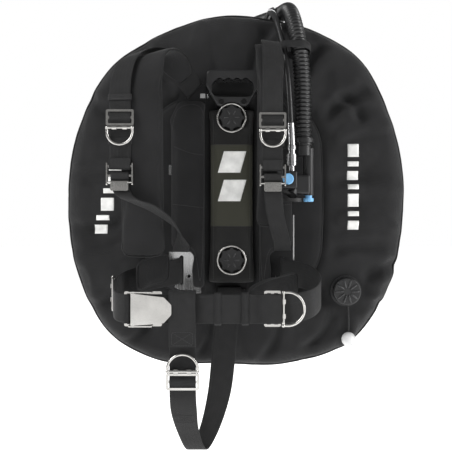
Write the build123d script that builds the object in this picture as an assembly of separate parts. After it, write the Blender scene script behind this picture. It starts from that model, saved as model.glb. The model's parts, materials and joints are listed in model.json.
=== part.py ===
from build123d import *
import math
import os

# A diver's buoyancy compensator: a donut-shaped air cell bolted behind a steel
# backplate, with a webbing harness in front of it.  Millimetres.
# X points to the wearer's left, Y points away from the wearer's back, Z is up.
# The origin is midway between the two tank bolt holes, on the plate's front face.

# ---------------------------------------------------------------- driving sizes
BOLT_SPACING = 279.4
BOLT_HOLE_R = 4.5
BOLT_Z = BOLT_SPACING / 2

PLATE_T = 3.0
CHANNEL_HALF = 32.0
SIDE_START = 52.0
SIDE_Y = -18.0
PLATE_HALF = 124.0
PLATE_TOP = 222.0
PLATE_BOTTOM = -206.0
SLOT_W = 8.0
SHOULDER_SLOT = (74.0, 194.0)
WAIST_SLOT = (99.0, -160.0)
CROTCH_SLOT_Z = -196.5

WING_FRONT = 7.0
WING_DEPTH = 70.0
WING_EDGE_R = 30.0
WALL = 2.0
HOLE_LEFT, HOLE_RIGHT = -155.0, 160.0
HOLE_BOTTOM, HOLE_TOP = -195.0, 165.0
HOLE_CORNER_R = 95.0

WEB_T = 2.4
SHOULDER_WEB_W = 38.0
BELT_W = 50.0
PAD_T = 10.0
ROD_R = 2.5
GAP = 0.3

HOSE_R = 17.0
LP_R = 6.0
DUMP_CORD_R = 1.5

# directions
FRONT = (0, -1, 0)
UP = (0, 0, 1)

# pads and handle
PAD_FRONT = -32.0
PAD_EDGE_R = 4.0
SPINE_HALF = 47.0
HANDLE_X = 2.0
HANDLE_SCREW_X = (-20.0, 24.0)
HANDLE_SCREW_Z = 171.0
WHEEL_R = 21.0
WHEEL_LOBES = 8
WHEEL_FRONT = -34.0

# three-bar slides, D-rings and ladder-lock adjusters
SLIDE_BAR = 4.0
SLIDE_SLOT = 8.5
SLIDE_LENGTH = 3 * SLIDE_BAR + 2 * SLIDE_SLOT
SLIDE_T = 2.0
WEAVE = SLIDE_T / 2 + 0.35 + WEB_T / 2
KNUCKLE_DROP = 4.0
KNUCKLE_Z = 3.4
TONGUE_Z = 4.6
TONGUE_PIN_R = 1.5

# shoulder straps: where the webbing hangs in front of each shoulder
R_WEB_X, R_WEB_Y = -200.5, -162.5
L_WEB_X, L_WEB_Y = 74.5, -127.5
WEB_LIFT = PAD_T / 2 + WEB_T / 2 + 6.5
SLIDER_Z = 121.0
ADJUSTER_Z = 34.0

# waist belt and buckle
BELT_Z = -215.0
BELT_Y = -214.0
BUCKLE_X0, BUCKLE_X1 = -176.0, -107.0
BUCKLE_HALF = 30.0
PIN_X, PIN_Y = -170.0, -222.5
PIN_R = 2.0
HIP_X, HIP_Y = 69.0, -210.5
R_HIP = (-217.0, -128.0, -196.0)
KEEPER_X = (-25.0, 22.0)

# crotch strap
CROTCH_X = -86.0
CROTCH_W = 46.0
CROTCH_SLIDE = (CROTCH_X, -205.0, -342.0)

# dump valve and its pull cord
DUMP_X, DUMP_Z = 230.0, -203.0
DUMP_R = 27.5
DUMP_RIBS = 10
CORD_X, CORD_Y = 232.0, -7.0
DUMP_CORD_ROUTE = [(232, -7, -216), (232, -7, -236), (234, -7, -260), (233, -7, -284)]

# elbow, hoses and inflator
ELBOW_X, ELBOW_Z = 44.0, 296.0
ELBOW_R = 16.0
ELBOW_ROUTE = [(44, 78, 296), (44, 112, 296), (44, 112, 358), (84, 92, 368)]
HOSE_ROUTE = [
    (84, 92, 368), (104, 82, 373), (115, 53, 374), (118, 20, 363), (122, -9, 339),
    (127, -27, 308), (132, -38, 274), (135.5, -45, 237), (137, -50, 199), (137, -54, 161),
    (137, -57, 122), (138, -58, 82),
]
LP_ROUTE = [
    (112, -74, 122), (110.5, -71, 160), (108.5, -64, 200), (106, -52, 238), (102.5, -35, 274),
    (95, -16, 312), (88, 2, 347), (80, 33, 367), (75, 61, 362), (72, 79, 349), (71, 89, 326),
    (71, 93, 294), (73, 96, 258), (79, 97, 220), (81, 96, 182), (77, 95, 144), (70, 96, 108),
]
BARREL_X, BARREL_Y = 148.0, -56.0
COUPLER_X, COUPLER_Y = 114.0, -74.0
INFLATE_X, INFLATE_Z = 106.0, 16.0


# ---------------------------------------------------------------- small helpers
def save(name, shape):
    export_step(shape, f"parts/{name}.step")


def box(x0, x1, y0, y1, z0, z1):
    return Pos((x0 + x1) / 2, (y0 + y1) / 2, (z0 + z1) / 2) * Box(x1 - x0, y1 - y0, z1 - z0)


def rod(a, b, radius):
    """A round bar from point a to point b."""
    a, b = Vector(*a), Vector(*b)
    return extrude(Plane(a, z_dir=b - a) * Circle(radius), (b - a).length)


def pipe(a, b, outer, inner):
    return rod(a, b, outer) - rod(a, b, inner)


def slab(outline, y0, y1):
    """An outline drawn in X and Z, made solid from y0 to y1."""
    return extrude(Plane.XZ.offset(-y1) * outline, y1 - y0)


def polygon(points, radius=0.0):
    face = make_face(Polyline(*points, close=True))
    return fillet(face.vertices(), radius) if radius else face


def ribbon(edges, thickness):
    """A strap between two edge lines: a list of (left point, right point)."""
    left = [Vector(*a) for a, b in edges]
    right = [Vector(*b) for a, b in edges]
    mid = [(a + b) * 0.5 for a, b in zip(left, right)]
    rings = []
    for i, (a, b) in enumerate(zip(left, right)):
        into = (mid[i] - mid[max(i - 1, 0)]) if i else (mid[1] - mid[0])
        out = (mid[i + 1] - mid[i]) if i + 1 < len(mid) else into
        into, out = into.normalized(), out.normalized()
        along = (into + out).normalized()
        normal = (b - a).cross(along).normalized()
        half = normal * (thickness / 2 / max(along.dot(out), 0.5))
        rings.append([a - half, b - half, b + half, a + half])
    solid = lofted(rings)
    return solid if solid.volume > 0 else lofted([ring[::-1] for ring in rings])


def lofted(rings):
    return Solid.make_loft([Wire.make_polygon(ring, close=True) for ring in rings], ruled=True)


def across(centre, direction, width):
    """The two edge points of a strap station from its centre and width direction."""
    half = Vector(*direction).normalized() * (width / 2)
    c = Vector(*centre)
    return tuple(c - half), tuple(c + half)


def smooth_tube(points, radius, name):
    """A hose along straight runs joined by the largest tangent arcs that fit."""
    pts = [Vector(*p) for p in points]
    radii = []
    for before, here, after in zip(pts, pts[1:], pts[2:]):
        turn = math.radians((here - before).get_angle(after - here))
        shorter = min((here - before).length, (after - here).length)
        radii.append(0.45 * shorter / math.tan(turn / 2))
    path = FilletPolyline(*points, radius=radii)
    tube = sweep(Plane(path @ 0, z_dir=path % 0) * Circle(radius), path=path)
    exact = math.pi * radius**2 * path.length
    print(name, "radii", [round(r) for r in radii], "length", round(path.length, 1),
          "volume ratio", round(tube.volume / exact, 4))
    return tube


def coil_spring(start, turns, pitch, coil_r, wire_r, axis):
    path = Helix(pitch=pitch, height=turns * pitch, radius=coil_r)
    wire = sweep(Plane(path @ 0, z_dir=path % 0) * Circle(wire_r), path=path)
    return Plane(start, z_dir=axis).location * wire


# ---------------------------------------------------------------- air cell
WING_EDGE = [
    (-11, 361), (96, 349), (188, 318), (262, 264), (318, 172), (350, 60), (352, -70),
    (324, -196), (248, -304), (120, -354), (-30, -356), (-150, -347), (-252, -288),
    (-318, -168), (-336, -10), (-314, 128), (-240, 256), (-130, 328),
]


def wing_outline(inset=0.0):
    """The cell's outer edge, a lopsided round shape, clockwise from the top."""
    points = [(x - inset * x / math.hypot(x, z), z - inset * z / math.hypot(x, z))
              for x, z in WING_EDGE]
    return make_face(Spline(*points, periodic=True))


def wing_hole(grow=0.0):
    width = HOLE_RIGHT - HOLE_LEFT + 2 * grow
    height = HOLE_TOP - HOLE_BOTTOM + 2 * grow
    middle = Pos((HOLE_RIGHT + HOLE_LEFT) / 2, (HOLE_TOP + HOLE_BOTTOM) / 2)
    return middle * RectangleRounded(width, height, HOLE_CORNER_R + grow)


def wing_ring(inset):
    """The inflated ring, its front and rear edges rounded."""
    ring = wing_outline(inset) - wing_hole(inset)
    solid = slab(ring, WING_FRONT + inset, WING_FRONT + WING_DEPTH - inset)
    ends = [e for f in (solid.faces().sort_by(Axis.Y)[0], solid.faces().sort_by(Axis.Y)[-1])
            for e in f.edges()]
    return fillet(ends, WING_EDGE_R - inset)


def make_wing():
    outer = wing_ring(0.0)
    valve_hole = rod((DUMP_X, WING_FRONT - 1, DUMP_Z), (DUMP_X, WING_FRONT + 12, DUMP_Z), 17.0)
    rear = WING_FRONT + WING_DEPTH
    elbow_hole = rod((ELBOW_X, rear - 12, ELBOW_Z), (ELBOW_X, rear + 1, ELBOW_Z), 15.0)
    shell = outer - wing_ring(WALL) - valve_hole - elbow_hole
    bladder = wing_ring(WALL + 0.5) - wing_ring(WALL + 1.5)
    save("wing_shell", shell)
    save("wing_bladder", bladder - valve_hole - elbow_hole)
    panel = slab(wing_hole(-4.0), 4.0, 6.0)
    for z in (-BOLT_Z, BOLT_Z):
        panel -= rod((0, 0, z), (0, 10, z), 11.0)
    save("wing_center_panel", panel)
    grommets = []
    for z in (-BOLT_Z, BOLT_Z):
        barrel = pipe((0, 3.4, z), (0, 8.0, z), 10.5, 6.0)
        grommets.append(barrel + pipe((0, 6.3, z), (0, 8.0, z), 17.0, 6.0))
    save("wing_grommets", Compound(children=grommets))


# ---------------------------------------------------------------- dump valve
def make_dump_valve():
    def at(y):
        return (DUMP_X, y, DUMP_Z)

    base = pipe(at(6.5), at(3.5), 31.0, 12.0) + pipe(at(3.5), at(-1.0), 24.0, 21.5)
    base += pipe(at(8.0), at(3.5), 14.5, 12.0)
    save("dump_valve_base", base)
    cover = rod(at(2.8), at(-13.0), DUMP_R) - rod(at(3.5), at(-11.0), 24.6)
    cover = fillet(cover.faces().sort_by(Axis.Y)[0].edges(), 3.0)
    for k in range(DUMP_RIBS):
        angle = 2 * math.pi * (k + 0.5) / DUMP_RIBS
        x, z = DUMP_X + DUMP_R * math.cos(angle), DUMP_Z + DUMP_R * math.sin(angle)
        cover -= rod((x, 1.5, z), (x, -8.0, z), 2.6)
    cover -= rod((CORD_X, CORD_Y, -226), (CORD_X, CORD_Y, -234), 2.2)
    save("dump_valve_cover", cover)
    seal = rod(at(2.9), at(1.4), 17.0) + rod(at(1.4), at(-6.0), 3.0)
    save("dump_valve_seal", seal)
    spring = coil_spring(at(-2.8), 3, 2.4, 9.0, 0.7, (0, -1, 0))
    save("dump_valve_spring", spring)
    save("dump_cord", smooth_tube(DUMP_CORD_ROUTE, DUMP_CORD_R, "dump_cord"))
    knob = Pos(233, CORD_Y, -298) * Sphere(14.0)
    save("dump_knob", knob & box(200, 260, -30, 30, -320, -284))


# ---------------------------------------------------------------- inflator side
def make_elbow():
    rear = WING_FRONT + WING_DEPTH
    flange = rod((ELBOW_X, rear + 0.3, ELBOW_Z), (ELBOW_X, rear + 4.0, ELBOW_Z), 29.0)
    save("hose_elbow", flange + jointed_pipe(ELBOW_R) - jointed_pipe(ELBOW_R - 3.5))


def jointed_pipe(radius):
    """The elbow's straight lengths with a ball at each corner."""
    solid = rod(ELBOW_ROUTE[0], ELBOW_ROUTE[1], radius)
    for a, b in zip(ELBOW_ROUTE[1:], ELBOW_ROUTE[2:]):
        solid += Pos(*a) * Sphere(radius) + rod(a, b, radius)
    return solid


def make_hose():
    hose = smooth_tube(HOSE_ROUTE, HOSE_R, "corrugated_hose")
    save("corrugated_hose", hose)
    clamps = []
    start, after = Vector(*HOSE_ROUTE[0]), Vector(*HOSE_ROUTE[1])
    along = (after - start).normalized()
    a, b = start + along * 4, start + along * 12
    clamps.append(pipe(tuple(a), tuple(b), HOSE_R + 3.4, HOSE_R + 0.3))
    end, before = Vector(*HOSE_ROUTE[-1]), Vector(*HOSE_ROUTE[-2])
    up = (before - end).normalized()
    clamps.append(pipe(tuple(end + up * 4), tuple(end + up * 12), HOSE_R + 3.4, HOSE_R + 0.3))
    save("hose_clamps", Compound(children=clamps))


def make_inflator():
    neck = rod((138, -58, 81.2), (138, -58, 62), 15.0)
    barrel = rod((BARREL_X, BARREL_Y, 76), (BARREL_X, BARREL_Y, -14), 10.0)
    block = box(98, 150, -72, -46, -12, 26)
    block = fillet(block.edges(), 5.0)
    head = fillet(box(94, 124, -84, -60, -2, 32).edges(), 4.0)
    snout = rod((118, -62, -4), (113.5, -67.5, -13), 11.0)
    body = neck + barrel + block + head + snout
    body -= rod((BARREL_X, BARREL_Y, 60), (BARREL_X, BARREL_Y, -20), 7.0)
    body -= rod((INFLATE_X, -90, INFLATE_Z), (INFLATE_X, -58, INFLATE_Z), 8.2)
    body -= rod((COUPLER_X, COUPLER_Y, 22), (COUPLER_X, COUPLER_Y, 40), 4.0)
    save("inflator_body", body)
    button = rod((INFLATE_X, -92, INFLATE_Z), (INFLATE_X, -87.4, INFLATE_Z), 10.5)
    button = fillet(button.faces().sort_by(Axis.Y)[0].edges(), 2.0)
    button += rod((INFLATE_X, -87.4, INFLATE_Z), (INFLATE_X, -74, INFLATE_Z), 7.8)
    save("inflate_button", button)
    save("inflate_spring", coil_spring((INFLATE_X, -59, INFLATE_Z), 3, 3.2, 5.0, 0.6, (0, -1, 0)))
    dump = rod((BARREL_X, BARREL_Y, -26), (BARREL_X, BARREL_Y, -19.4), 9.6)
    dump = fillet(dump.faces().sort_by(Axis.Z)[0].edges(), 2.0)
    dump += rod((BARREL_X, BARREL_Y, -19.4), (BARREL_X, BARREL_Y, 2), 6.6)
    save("deflate_button", dump)
    save("deflate_spring", coil_spring((BARREL_X, BARREL_Y, 9.0), 6, 3.5, 4.5, 0.7, (0, 0, 1)))
    lip = Pos(112, -70, -26.5) * extrude(Ellipse(21, 13), 6.5)
    save("mouthpiece", lip - rod((113, -68, -28), (113, -68, -12), 7.0))
    nipple = rod((COUPLER_X, COUPLER_Y, 32.3), (COUPLER_X, COUPLER_Y, 40), 6.0)
    nipple += rod((COUPLER_X, COUPLER_Y, 40), (COUPLER_X, COUPLER_Y, 52), 4.4)
    nipple += rod((COUPLER_X, COUPLER_Y, 26), (COUPLER_X, COUPLER_Y, 33), 3.7)
    save("lp_nipple", nipple)


def make_lp_line():
    collar = pipe((COUPLER_X, COUPLER_Y, 42), (COUPLER_X, COUPLER_Y, 64), 9.5, 7.3)
    for z in (47.0, 53.0, 59.0):
        collar += pipe((COUPLER_X, COUPLER_Y, z - 1), (COUPLER_X, COUPLER_Y, z + 1), 10.3, 9.0)
    save("coupler_collar", collar)
    core = pipe((COUPLER_X, COUPLER_Y, 44), (COUPLER_X, COUPLER_Y, 74), 7.0, 4.8)
    core += pipe((COUPLER_X, COUPLER_Y, 72), (COUPLER_X, COUPLER_Y, 80), 9.0, 4.8)
    top = Vector(*LP_ROUTE[0])
    down = (top - Vector(*LP_ROUTE[1])).normalized()
    core += rod(tuple(top + down * 42), tuple(top), 7.5)
    save("coupler_body", core)
    save("lp_hose", smooth_tube(LP_ROUTE, LP_R, "lp_hose"))
    end, before = Vector(*LP_ROUTE[-1]), Vector(*LP_ROUTE[-2])
    down = (end - before).normalized()
    crimp = rod(tuple(end), tuple(end + down * 24), 7.5)
    hexagon = extrude(Plane(end + down * 24, z_dir=down) * RegularPolygon(8.0, 6), 8)
    thread = rod(tuple(end + down * 32), tuple(end + down * 43), 4.76)
    save("lp_fitting", crimp + hexagon + thread)
    band = RectangleRounded(66, 44.6, 22.2) - RectangleRounded(61, 39.6, 19.7)
    place = Plane((121.5, -37, 272), x_dir=(1, 0, 0), z_dir=(0, 0.34, 1))
    save("hose_retainer", extrude(place * band, 8, both=True))


# ---------------------------------------------------------------- plate and pads
def mirrored(points):
    return points + [(-x, z) for x, z in reversed(points)]


def make_backplate():
    t = PLATE_T
    front = mirrored([(PLATE_HALF + 6, SIDE_Y), (SIDE_START, SIDE_Y), (CHANNEL_HALF, 0)])
    rear = [(x, y + t) for x, y in reversed(front)]
    bent = Pos(0, 0, -260) * extrude(make_face(Polyline(*front, *rear, close=True)), 520)
    outline = polygon(mirrored([
        (55, PLATE_TOP), (98, 204), (114, 150), (PLATE_HALF, 60), (PLATE_HALF, -150),
        (112, -196), (70, PLATE_BOTTOM),
    ]), 8.0)
    plate = bent & slab(outline, -60, 60)
    for z in (-BOLT_Z, BOLT_Z):
        plate -= rod((0, -10, z), (0, 10, z), BOLT_HOLE_R)
    for side in (-1, 1):
        slot = Pos(side * SHOULDER_SLOT[0], SHOULDER_SLOT[1]) * Rot(0, 0, -side * 45)
        plate -= slab(slot * RectangleRounded(46, SLOT_W, 3.9), -60, 60)
        slot = Pos(side * WAIST_SLOT[0], WAIST_SLOT[1])
        plate -= slab(slot * RectangleRounded(SLOT_W, 58, 3.9), -60, 60)
        plate -= rod((side * 116, -60, 32), (side * 116, 60, 32), 3.5)
        plate -= rod((side * 84, -60, -172), (side * 84, 60, -172), 3.2)
    plate -= slab(Pos(0, CROTCH_SLOT_Z) * RectangleRounded(58, 7.0, 3.4), -60, 60)
    plate -= slab(Pos(HANDLE_X, 197) * RectangleRounded(84, 36, 12), -60, 60)
    for x in HANDLE_SCREW_X:
        plate -= rod((x, -10, HANDLE_SCREW_Z), (x, 10, HANDLE_SCREW_Z), 3.0)
    save("backplate", plate)


def make_pads():
    outline = [
        (-48, 176), (-48, -197), (-74, -197), (-80, -128), (-124, -116), (-124, 140), (-104, 176),
    ]
    for side, name in ((1, "back_pad_right"), (-1, "back_pad_left")):
        face = polygon([(side * x, z) for x, z in outline], 10.0)
        pad = slab(face, PAD_FRONT, SIDE_Y - 0.2)
        pad = fillet(pad.faces().sort_by(Axis.Y)[0].edges(), PAD_EDGE_R)
        save(name, pad)
    section = mirrored([(30, -0.4), (SPINE_HALF, -15.5), (SPINE_HALF, -26)])
    spine = Pos(0, 0, -188) * extrude(make_face(Polyline(*section, close=True)), 348)
    for z in (-BOLT_Z, BOLT_Z):
        spine -= rod((0, -40, z), (0, 10, z), 11.0)
    save("spine_pad", spine)


def make_handle():
    outer = polygon([(-49, 233), (53, 233), (56, 205), (32, 162), (-28, 162), (-52, 205)], 9.0)
    hole = Pos(HANDLE_X, 197) * RectangleRounded(82, 34, 13)
    grip = slab(outer, -34, -19)
    grip = fillet(grip.faces().sort_by(Axis.Y)[0].edges(), 4.0)
    opening = slab(hole, -60, 0)
    for k in range(4):
        x = HANDLE_X + (k - 1.5) * 17
        opening += rod((x, -60, 210), (x, 0, 210), 7.5)
    grip -= opening
    grip -= rod((0, -60, BOLT_Z), (0, -25.8, BOLT_Z), 30.5)
    screws = []
    for x in HANDLE_SCREW_X:
        boss = rod((x, -19, HANDLE_SCREW_Z), (x, -0.4, HANDLE_SCREW_Z), 6.5)
        grip += boss
        grip -= rod((x, -31, HANDLE_SCREW_Z), (x, 1, HANDLE_SCREW_Z), 2.6)
        grip -= rod((x, -40, HANDLE_SCREW_Z), (x, -31, HANDLE_SCREW_Z), 5.6)
        shank = rod((x, -31, HANDLE_SCREW_Z), (x, 3.3, HANDLE_SCREW_Z), 2.3)
        head = rod((x, -33.5, HANDLE_SCREW_Z), (x, -31.1, HANDLE_SCREW_Z), 5.0)
        nut = extrude(Plane((x, 3.3, HANDLE_SCREW_Z), z_dir=(0, 1, 0)) * RegularPolygon(4.6, 6), 3)
        screws.append(shank + head + nut)
    save("carry_handle", grip)
    save("handle_screws", Compound(children=screws))


def make_thumbwheels():
    rings = []
    for z, name in ((BOLT_Z, "upper_thumbwheel"), (-BOLT_Z, "lower_thumbwheel")):
        ring = pipe((0, -26.2, z), (0, -31.5, z), 29.5, 25.5)
        ring = fillet(ring.edges(), 1.6)
        rings.append(ring)
        wheel = rod((0, -26.8, z), (0, WHEEL_FRONT, z), WHEEL_R)
        for k in range(WHEEL_LOBES):
            angle = 2 * math.pi * k / WHEEL_LOBES
            x, dz = WHEEL_R * math.cos(angle), WHEEL_R * math.sin(angle)
            wheel += rod((x, -26.8, z + dz), (x, WHEEL_FRONT, z + dz), 3.6)
        wheel += rod((0, -26.8, z), (0, -0.6, z), 8.0)
        wheel -= rod((0, WHEEL_FRONT + 3, z), (0, 1, z), 4.15)
        save(name, wheel)
    save("thumbwheel_rings", Compound(children=rings))


# ---------------------------------------------------------------- webbing hardware
def slide(width):
    """A three-bar slide in its own frame: X across the webbing, Y along it, Z outward."""
    body = extrude(RectangleRounded(width + 12, SLIDE_LENGTH, 3.5), SLIDE_T / 2, both=True)
    step = SLIDE_BAR / 2 + SLIDE_SLOT / 2
    for y in (-step, step):
        body -= Pos(0, y, 0) * extrude(RectangleRounded(width + 4, SLIDE_SLOT, 2), 5, both=True)
    return body


def knuckled_slide(width):
    """A slide with two rolled knuckles below it that hold a D-ring's straight bar."""
    body = slide(width)
    y = -SLIDE_LENGTH / 2 - KNUCKLE_DROP
    for x in (-width / 4, width / 4):
        roll = rod((x - 4, y, KNUCKLE_Z), (x + 4, y, KNUCKLE_Z), ROD_R + 2.0)
        neck = box(x - 4, x + 4, y, -SLIDE_LENGTH / 2 + 2, -SLIDE_T / 2, SLIDE_T / 2)
        body += roll + neck
        body -= rod((x - 5, y, KNUCKLE_Z), (x + 5, y, KNUCKLE_Z), ROD_R + GAP)
    return body


def d_ring(width, depth):
    """A welded D-ring: a straight bar along X and a half-round bow that reaches -depth."""
    half = width / 2 + ROD_R
    straight = half - depth
    arc = ThreePointArc((-half, straight), (0, -depth), (half, straight))
    path = Wire([Edge.make_line((-half, 0), (-half, straight)), arc,
                 Edge.make_line((half, straight), (half, 0))])
    bent = sweep(Plane((-half, 0, 0), z_dir=(0, -1, 0)) * Circle(ROD_R), path=path)
    bar = rod((-half, 0, 0), (half, 0, 0), ROD_R)
    ends = Pos(-half, 0, 0) * Sphere(ROD_R + 0.8) + Pos(half, 0, 0) * Sphere(ROD_R + 0.8)
    return bent + bar + ends


def placed(shape, origin, x_dir, outward):
    return Plane(origin, x_dir=x_dir, z_dir=outward).location * shape


def threaded(centre, along, outward, width_dir, width):
    """Strap stations that weave behind, over and behind a slide's three bars."""
    c, a, n = Vector(*centre), Vector(*along).normalized(), Vector(*outward).normalized()
    edge = SLIDE_BAR / 2 + SLIDE_SLOT
    steps = [(-edge, -WEAVE), (-SLIDE_BAR / 2, WEAVE), (SLIDE_BAR / 2, WEAVE), (edge, -WEAVE)]
    return [across(tuple(c + a * s + n * h), width_dir, width) for s, h in steps]


# ---------------------------------------------------------------- shoulder straps
RIGHT_PAD = [
    across((-87, -44, 214), (1, 0.2, 1), 40),
    across((-107, -61, 237), (1, -0.1, 0.75), 56),
    across((-136, -86, 252), (1, -0.7, 0.25), 74),
    across((-158, -112, 236), (1, -0.5, 0.15), 80),
    across((-165, -132, 192), (1, -0.15, 0.05), 82),
    across((-163, -144, 130), (1, 0.1, 0), 82),
    across((-162, -148, 20), (1, 0.05, 0), 82),
    across((-162, -140, -60), (1, 0.05, 0), 82),
    across((-164, -118, -126), (1, 0.05, 0), 78),
]
LEFT_PAD = [
    ((54, -44, 228), (84, -40, 204)),
    ((49, -60, 250), (84, -54, 228)),
    ((44, -80, 268), (93, -77, 262)),
    ((44, -100, 240), (97, -98, 237)),
    ((44, -112, 180), (97, -111, 180)),
    ((44, -114, 80), (97, -113, 80)),
    ((44, -110, -10), (97, -109, -10)),
    ((46, -96, -70), (97, -95, -70)),
]


def on_pad(pad, i, f0, f1, height):
    """A webbing station on a pad's outer side, from fraction f0 to f1 of its width."""
    a, b = Vector(*pad[i][0]), Vector(*pad[i][1])
    before = (Vector(*pad[i - 1][0]) + Vector(*pad[i - 1][1])) * 0.5
    after = (Vector(*pad[i + 1][0]) + Vector(*pad[i + 1][1])) * 0.5
    lift = (after - before).cross(b - a).normalized() * height
    return tuple(a + (b - a) * f0 + lift), tuple(a + (b - a) * f1 + lift)


def folded_end(x, y, z, width):
    """The webbing's turn round a bar and back up behind itself, a stitched loop."""
    back, front = y + 3.4, y - 3.4
    return [across((x, back, z - 1), (1, 0, 0), width),
            across((x, back, z - 4.2), (1, 0, 0), width),
            across((x, front, z - 4.2), (1, 0, 0), width),
            across((x, front, z + 14), (1, 0, 0), width)]


def shoulder_web(side, pad, x, y, fractions):
    sx = side * SHOULDER_SLOT[0]
    width_dir = (1, 0, -side)
    stations = [across((sx, -8, SHOULDER_SLOT[1]), width_dir, SHOULDER_WEB_W),
                across((sx, -24, SHOULDER_SLOT[1]), width_dir, SHOULDER_WEB_W)]
    for i, (f0, f1) in fractions:
        stations.append(on_pad(pad, i, f0, f1, WEB_LIFT))
    stations += threaded((x, y, SLIDER_Z), (0, 0, -1), FRONT, (1, 0, 0), SHOULDER_WEB_W)
    stations += folded_end(x, y, ADJUSTER_Z, SHOULDER_WEB_W)
    return ribbon(stations, WEB_T)


def adjuster_frame(width):
    """Ladder lock: top bar, strap bar, tongue pin and two side arms.  Z outward, Y up."""
    half = width / 2 + 2.5
    body = box(-half, half, -2, 2, -1.6, 1.6)
    body += box(-half, half, -19, -15, -1.6, 1.6)
    for x in (-half - 2.5, half):
        arm = box(x, x + 2.5, -34, 6, -4, 6)
        body += fillet(arm.edges().filter_by(Axis.X), 2.5)
    body += rod((-half - 1, -29, TONGUE_Z), (half + 1, -29, TONGUE_Z), TONGUE_PIN_R)
    return body


def adjuster_tongue(width):
    half = width / 2 - 3
    plate = box(-half, half, -44, -29, TONGUE_Z + 1.2, TONGUE_Z + 3.2)
    plate = fillet(plate.edges().filter_by(Axis.Z), 3.0)
    plate += rod((-half, -29, TONGUE_Z), (half, -29, TONGUE_Z), 3.2)
    return plate - rod((-half - 1, -29, TONGUE_Z), (half + 1, -29, TONGUE_Z), TONGUE_PIN_R + GAP)


def make_shoulders():
    right = [(1, (0.05, 0.9)), (2, (-0.05, 0.52)), (3, (-0.12, 0.39)), (4, (-0.16, 0.31))]
    left = [(1, (0.1, 0.88)), (2, (0.2, 0.92)), (3, (0.22, 0.93)), (4, (0.22, 0.93))]
    save("right_shoulder_webbing", shoulder_web(-1, RIGHT_PAD, R_WEB_X, R_WEB_Y, right))
    save("left_shoulder_webbing", shoulder_web(1, LEFT_PAD, L_WEB_X, L_WEB_Y, left))
    save("right_shoulder_pad", ribbon(RIGHT_PAD, PAD_T))
    save("left_shoulder_pad", ribbon(LEFT_PAD, PAD_T))
    sliders, frames = [], []
    for x, y, side in ((R_WEB_X, R_WEB_Y, "right"), (L_WEB_X, L_WEB_Y, "left")):
        sliders.append(placed(knuckled_slide(SHOULDER_WEB_W), (x, y, SLIDER_Z), (1, 0, 0), FRONT))
        bar_z = SLIDER_Z - SLIDE_LENGTH / 2 - KNUCKLE_DROP
        ring = d_ring(SHOULDER_WEB_W + 2, 30.0)
        save(side + "_shoulder_d_ring",
             placed(ring, (x, y - KNUCKLE_Z, bar_z), (1, 0, 0), FRONT))
        place = ((x, y, ADJUSTER_Z), (1, 0, 0), FRONT)
        frames.append(placed(adjuster_frame(SHOULDER_WEB_W), *place))
        save(side + "_adjuster_tongue", placed(adjuster_tongue(SHOULDER_WEB_W), *place))
    save("shoulder_sliders", Compound(children=sliders))
    save("adjuster_frames", Compound(children=frames))


def strap_top(x, y):
    """The lower strap's loop round the adjuster's strap bar."""
    z = ADJUSTER_Z - 17
    w = SHOULDER_WEB_W - 6
    return [across((x, y - 3.4, z - 7), (1, 0, 0), w), across((x, y - 3.4, z + 4.2), (1, 0, 0), w),
            across((x, y + 3.4, z + 4.2), (1, 0, 0), w), across((x, y + 3.4, z - 18), (1, 0, 0), w)]


def make_lower_straps():
    w = SHOULDER_WEB_W - 6
    right = strap_top(R_WEB_X, R_WEB_Y) + [
        across((-192, -166, -18), (1, -0.35, 0), w),
        across((-170, -174, -30), (0.5, -0.8, 0.1), w),
        across((-142, -176, -41), (0.25, -0.9, 0.3), w),
        across((-112, -160, -62), (0.1, -0.9, 0.3), w),
        across((-96, -112, -88), (0.3, -0.8, -0.3), w),
        across((-95, -66, -108), (0.9, -0.4, -0.2), w),
        across((-99, -40, -121), (1, 0, 0), w),
    ]
    left = strap_top(L_WEB_X, L_WEB_Y) + [
        across((76, -124, -30), (1, 0, 0), w),
        across((84, -118, -70), (1, 0, 0), w),
        across((94, -84, -100), (1, 0, 0), w),
        across((99, -44, -120), (1, 0, 0), w),
    ]
    save("right_lower_strap", ribbon(right, WEB_T))
    save("left_lower_strap", ribbon(left, WEB_T))


# ---------------------------------------------------------------- waist belt
def make_belt():
    right_end = BUCKLE_X0 - 4
    right = [
        across((-99, -6, -160), UP, BELT_W), across((-99, -26, -160), UP, BELT_W),
        across((-112, -40, -163), UP, BELT_W), across((-160, -58, -171), UP, BELT_W),
        across((-196, -82, -181), UP, BELT_W), across((-211, -104, -189), UP, BELT_W),
    ]
    right += threaded(R_HIP, (0, -1, 0), (-1, 0, 0), UP, BELT_W)
    right += [
        across((-212, -160, -204), UP, BELT_W), across((-203, -192, -212), UP, BELT_W),
        across((right_end - 3, -207.5, BELT_Z), UP, BELT_W),
        across((right_end + 4, -207.5, BELT_Z), UP, BELT_W),
        across((right_end + 4, BELT_Y, BELT_Z), UP, BELT_W),
        across((right_end - 6, BELT_Y, BELT_Z), UP, BELT_W),
    ]
    left = [
        across((99, -6, -160), UP, BELT_W), across((99, -26, -160), UP, BELT_W),
        across((114, -40, -163), UP, BELT_W), across((146, -62, -171), UP, BELT_W),
        across((162, -100, -184), UP, BELT_W), across((158, -148, -199), UP, BELT_W),
        across((138, -184, -209), UP, BELT_W), across((104, -203, BELT_Z), UP, BELT_W),
    ]
    left += threaded((HIP_X, HIP_Y, BELT_Z), (-1, 0, 0), FRONT, UP, BELT_W)
    left += [
        across((48, -207.4, BELT_Z), UP, BELT_W), across((26, BELT_Y, BELT_Z), UP, BELT_W),
        across((BUCKLE_X0 + 8, BELT_Y, BELT_Z), UP, BELT_W),
    ]
    save("waist_belt_right", ribbon(right, WEB_T))
    save("waist_belt_left", ribbon(left, WEB_T))


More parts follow.
